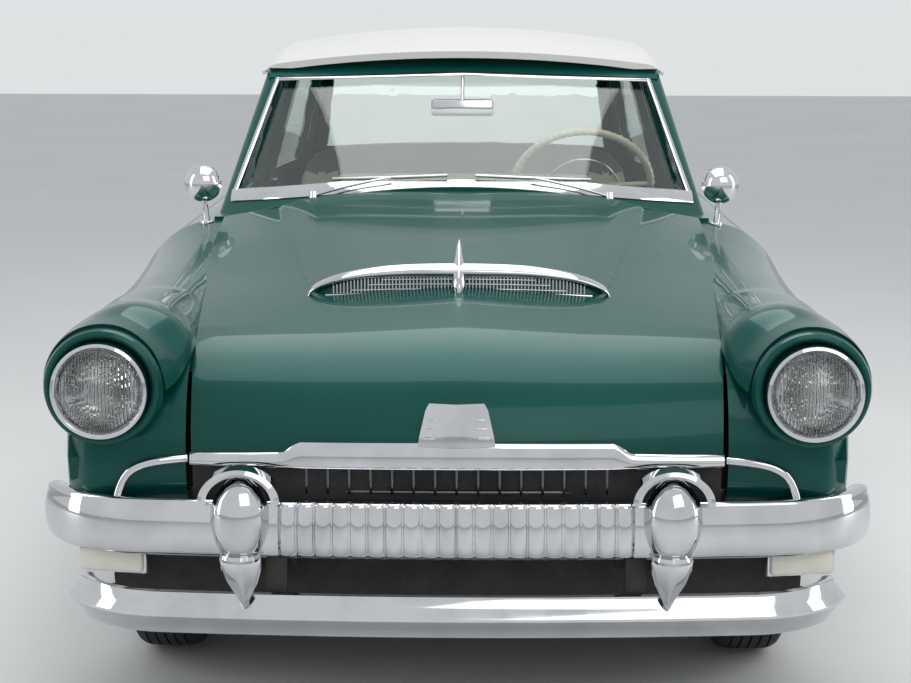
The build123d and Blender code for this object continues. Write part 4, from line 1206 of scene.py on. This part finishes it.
def hood_height(x, y):
    """Height of the hood's top at a place, with its raised middle."""
    z, near_drop, far_drop = eased(hood_rows, y)
    z -= hood_side_drop(x, near_drop, far_drop)
    z += hood_crease(x)
    if y > RAISE_START_Y:
        share = (y - RAISE_START_Y) / (COWL_Y - RAISE_START_Y)
        half = 0.361 + 0.185 * share
        edge_z = 0.941 + 0.122 * share
        crown = 0.082 + 0.004 * share
        if abs(x) < half:
            z = max(z, edge_z + crown * (1 - (abs(x) / half) ** ARCH_POWER) ** 0.5)
    return z


def hood_place(u, v):
    """A point on the hood: u goes across and v from the cowl to the lip."""
    if v < 1 - NOSE_SHARE:
        share = v / (1 - NOSE_SHARE)
        middle_y = HOOD_BACK_Y + (NOSE_START_Y - HOOD_BACK_Y) * share
        half = HOOD_BACK_HALF + (hood_half(middle_y) - HOOD_BACK_HALF) * share
        x = half * (2 * u - 1)
        y = middle_y + 0.073 * (x / HOOD_BACK_HALF) ** 2 * (1 - share) ** 1.5
        return (x, y, hood_height(x, y))
    share = (v - 1 + NOSE_SHARE) / NOSE_SHARE
    y, z = eased(nose_line, share)
    x = hood_half(y) * (2 * u - 1)
    y += (nose_curve(x) - NOSE_TIP_Y) * share
    z -= hood_side_drop(x, 0.006, 0.020) * (1 - share) - hood_crease(x) * (1 - 0.5 * share)
    return (x, y - hood_crease(x) * share, z)


def hood_half(y):
    """Half width of the hood at y, inside its seams."""
    return 0.600 + 0.080 * (y + 2.428) / 1.328 - 0.006


hood_panel = pulled(150, 130, hood_place, 0.004)
finished(hood_panel, "hood_panel", GREEN, "hood", smooth=28)
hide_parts("hood")

# Crest of each front fender, swept from the round lamp pod into the fender's own top

CREST_START_Y = -2.452
CREST_LENGTH = 0.552
# for each station along the car: y, x of the points from the outer side over to the hood, and their heights
crest_stations = [
    (CREST_START_Y,
     (0.9095, 0.9045, 0.890, 0.868, 0.838, 0.803, 0.766, 0.733, 0.703, 0.678, 0.660, 0.647, 0.640),
     (0.830, 0.864, 0.898, 0.926, 0.947, 0.959, 0.961, 0.954, 0.938, 0.915, 0.888, 0.850, 0.815)),
    (-2.390,
     (0.911, 0.905, 0.891, 0.870, 0.839, 0.803, 0.763, 0.729, 0.696, 0.668, 0.645, 0.630, 0.622),
     (0.830, 0.864, 0.900, 0.928, 0.950, 0.964, 0.967, 0.962, 0.947, 0.926, 0.898, 0.866, 0.830)),
    (-2.310,
     (0.911, 0.907, 0.893, 0.872, 0.842, 0.802, 0.760, 0.722, 0.682, 0.650, 0.628, 0.608, 0.603),
     (0.830, 0.852, 0.896, 0.925, 0.949, 0.971, 0.983, 0.984, 0.973, 0.956, 0.936, 0.908, 0.875)),
    (-2.200,
     (0.908, 0.904, 0.890, 0.871, 0.842, 0.802, 0.762, 0.722, 0.681, 0.650, 0.630, 0.614, 0.609),
     (0.800, 0.826, 0.868, 0.908, 0.942, 0.967, 0.979, 0.980, 0.970, 0.954, 0.938, 0.915, 0.885)),
    (-2.000,
     (0.910, 0.905, 0.893, 0.872, 0.842, 0.802, 0.762, 0.722, 0.681, 0.650, 0.632, 0.622, 0.618),
     (0.800, 0.826, 0.864, 0.906, 0.939, 0.963, 0.975, 0.977, 0.969, 0.955, 0.942, 0.925, 0.900)),
    (-1.900,
     (0.905, 0.900, 0.889, 0.868, 0.839, 0.800, 0.760, 0.720, 0.680, 0.650, 0.636, 0.628, 0.624),
     (0.790, 0.812, 0.852, 0.900, 0.931, 0.954, 0.968, 0.970, 0.964, 0.952, 0.936, 0.915, 0.890)),
]


def crest_place(u, v):
    """A point on the left fender's crest: u goes over it and v from the pod to the fender's middle."""
    rows = []
    for y, across, heights in crest_stations:
        table = [(place / (len(across) - 1), *point) for place, point in enumerate(zip(across, heights))]
        rows.append((y, *eased(table, u)))
    y = CREST_START_Y + CREST_LENGTH * v
    x, z = eased(rows, y)
    return (x, y, z)


crest = pulled(48, 60, crest_place, 0.003)
finished(both_sides(crest), "fender_crests", GREEN, smooth=60)

# Rear deck between the rear window and the trunk lid, out to both quarter panels

DECK_HALF = 0.745
DECK_END_Y = 1.400
# columns: distance from the middle, y of the front edge, height there, height at the lid
deck_rows = [
    (0.000, 1.335, 1.099, 1.094), (0.166, 1.322, 1.099, 1.086), (0.355, 1.268, 1.099, 1.072),
    (0.456, 1.220, 1.099, 1.060), (0.505, 1.193, 1.098, 1.053), (0.560, 1.150, 1.095, 1.045),
    (0.600, 1.080, 1.092, 1.039), (0.640, 1.005, 1.090, 1.032), (0.670, 0.992, 1.060, 1.027),
    (0.700, 0.992, 1.043, 1.022), (DECK_HALF, 0.992, 1.033, 1.018),
]


def deck_place(u, v):
    """A point on the rear deck: u goes across and v from the window to the lid."""
    x = DECK_HALF * (2 * u - 1)
    front_y, front_z, lid_z = eased(deck_rows, abs(x))
    y = front_y + (DECK_END_Y - front_y) * v
    return (x, y, lid_z + (front_z - lid_z) * (1 - v) ** 0.45)


deck = pulled(120, 40, deck_place, 0.003)
finished(deck, "rear_deck", GREEN, smooth=60)

# Caps that close the quarter panels around the tail lamps

CAP_INNER_X = 0.640
CAP_LOW_Z = 0.480
# columns: x, height of the cap's top
tail_rows = [
    (CAP_INNER_X, 0.884), (0.660, 0.896), (0.690, 0.904), (0.720, 0.906), (0.760, 0.900), (0.800, 0.882),
    (0.840, 0.844), (0.862, 0.795), (0.874, 0.700),
]


def tail_place(u, v):
    """A point on the left quarter panel's rear cap."""
    x = CAP_INNER_X + 0.234 * u
    top = eased(tail_rows, x)[0]
    bulge = math.sin(math.pi * u) * math.sin(math.pi * min(1.0, v)) ** 0.7
    return (x, 2.422 + 0.007 * bulge, CAP_LOW_Z + (top - CAP_LOW_Z) * v)


cap = both_sides(pulled(32, 40, tail_place, 0.003))
finished(cap, "quarter_tail_caps", GREEN, smooth=60)

# Floor, light and camera

floor = named(added(bpy.ops.mesh.primitive_plane_add, size=60), "studio_floor")
floor_mix = Finish("studio_floor", Roughness=0.6)
floor_mottle = floor_mix.effect(MOTTLE, Broad_Scale=0.7, Fine_Scale=40.0)
floor_mix.feed(
    "Base Color", floor_mix.ramp(floor_mottle.outputs["Mask"], [(0.3, (0.72, 0.72, 0.71)), (0.7, (0.76, 0.76, 0.75))])
)
floor.data.materials.append(floor_mix.material)

world = bpy.data.worlds.new("studio")
bpy.context.scene.world = world
world.use_nodes = True
studio = world.node_tree
sky = with_inputs(studio.nodes["Background"], Color=(0.80, 0.84, 0.88, 1), Strength=0.66)
backdrop = with_inputs(studio.nodes.new("ShaderNodeBackground"), Color=(0.74, 0.76, 0.77, 1))
ray = studio.nodes.new("ShaderNodeLightPath")
seen, seen_through = maths(studio, "MAXIMUM"), maths(studio, "MAXIMUM")
shown = studio.nodes.new("ShaderNodeMixShader")
wired(
    studio,
    (ray.outputs["Is Camera Ray"], seen.inputs[0]),
    (ray.outputs["Is Glossy Ray"], seen.inputs[1]),
    (seen.outputs["Value"], seen_through.inputs[0]),
    (ray.outputs["Is Transmission Ray"], seen_through.inputs[1]),
    (seen_through.outputs["Value"], shown.inputs["Fac"]),
    (sky.outputs["Background"], shown.inputs[1]),
    (backdrop.outputs["Background"], shown.inputs[2]),
    (shown.outputs["Shader"], studio.nodes["World Output"].inputs["Surface"]),
)

LIT_POINT = Vector((0, -0.6, 0.6))
# columns: name, place, width, height, watts
lamp_rows = [
    ("top_softbox", (0.0, -0.5, 4.6), 3.0, 5.0, 115),
    ("left_strip", (5.2, -1.8, 2.6), 1.2, 5.0, 75),
    ("right_strip", (-5.2, -2.6, 2.6), 1.2, 5.0, 60),
    ("front_fill", (2.6, -7.5, 5.6), 5.5, 4.5, 100),
]
for name, place, width, height, watts in lamp_rows:
    light = bpy.data.lights.new(name, "AREA")
    light.shape = "RECTANGLE"
    light.size = width
    light.size_y = height
    light.energy = watts
    lamp = bpy.data.objects.new(name, light)
    bpy.context.scene.collection.objects.link(lamp)
    lamp.location = place
    lamp.rotation_euler = (LIT_POINT - Vector(place)).to_track_quat("-Z", "Y").to_euler()

eye = bpy.data.cameras.new("camera")
eye.sensor_width = 36
eye.lens = 77.1
camera = bpy.data.objects.new("camera", eye)
bpy.context.scene.collection.objects.link(camera)
camera.location = (0.037, -6.659, 1.652)
camera.rotation_euler = tuple(math.radians(turn) for turn in (80.22, -0.14, 0.57))
bpy.context.scene.camera = camera
bpy.context.scene.view_settings.view_transform = "Standard"

deselect()
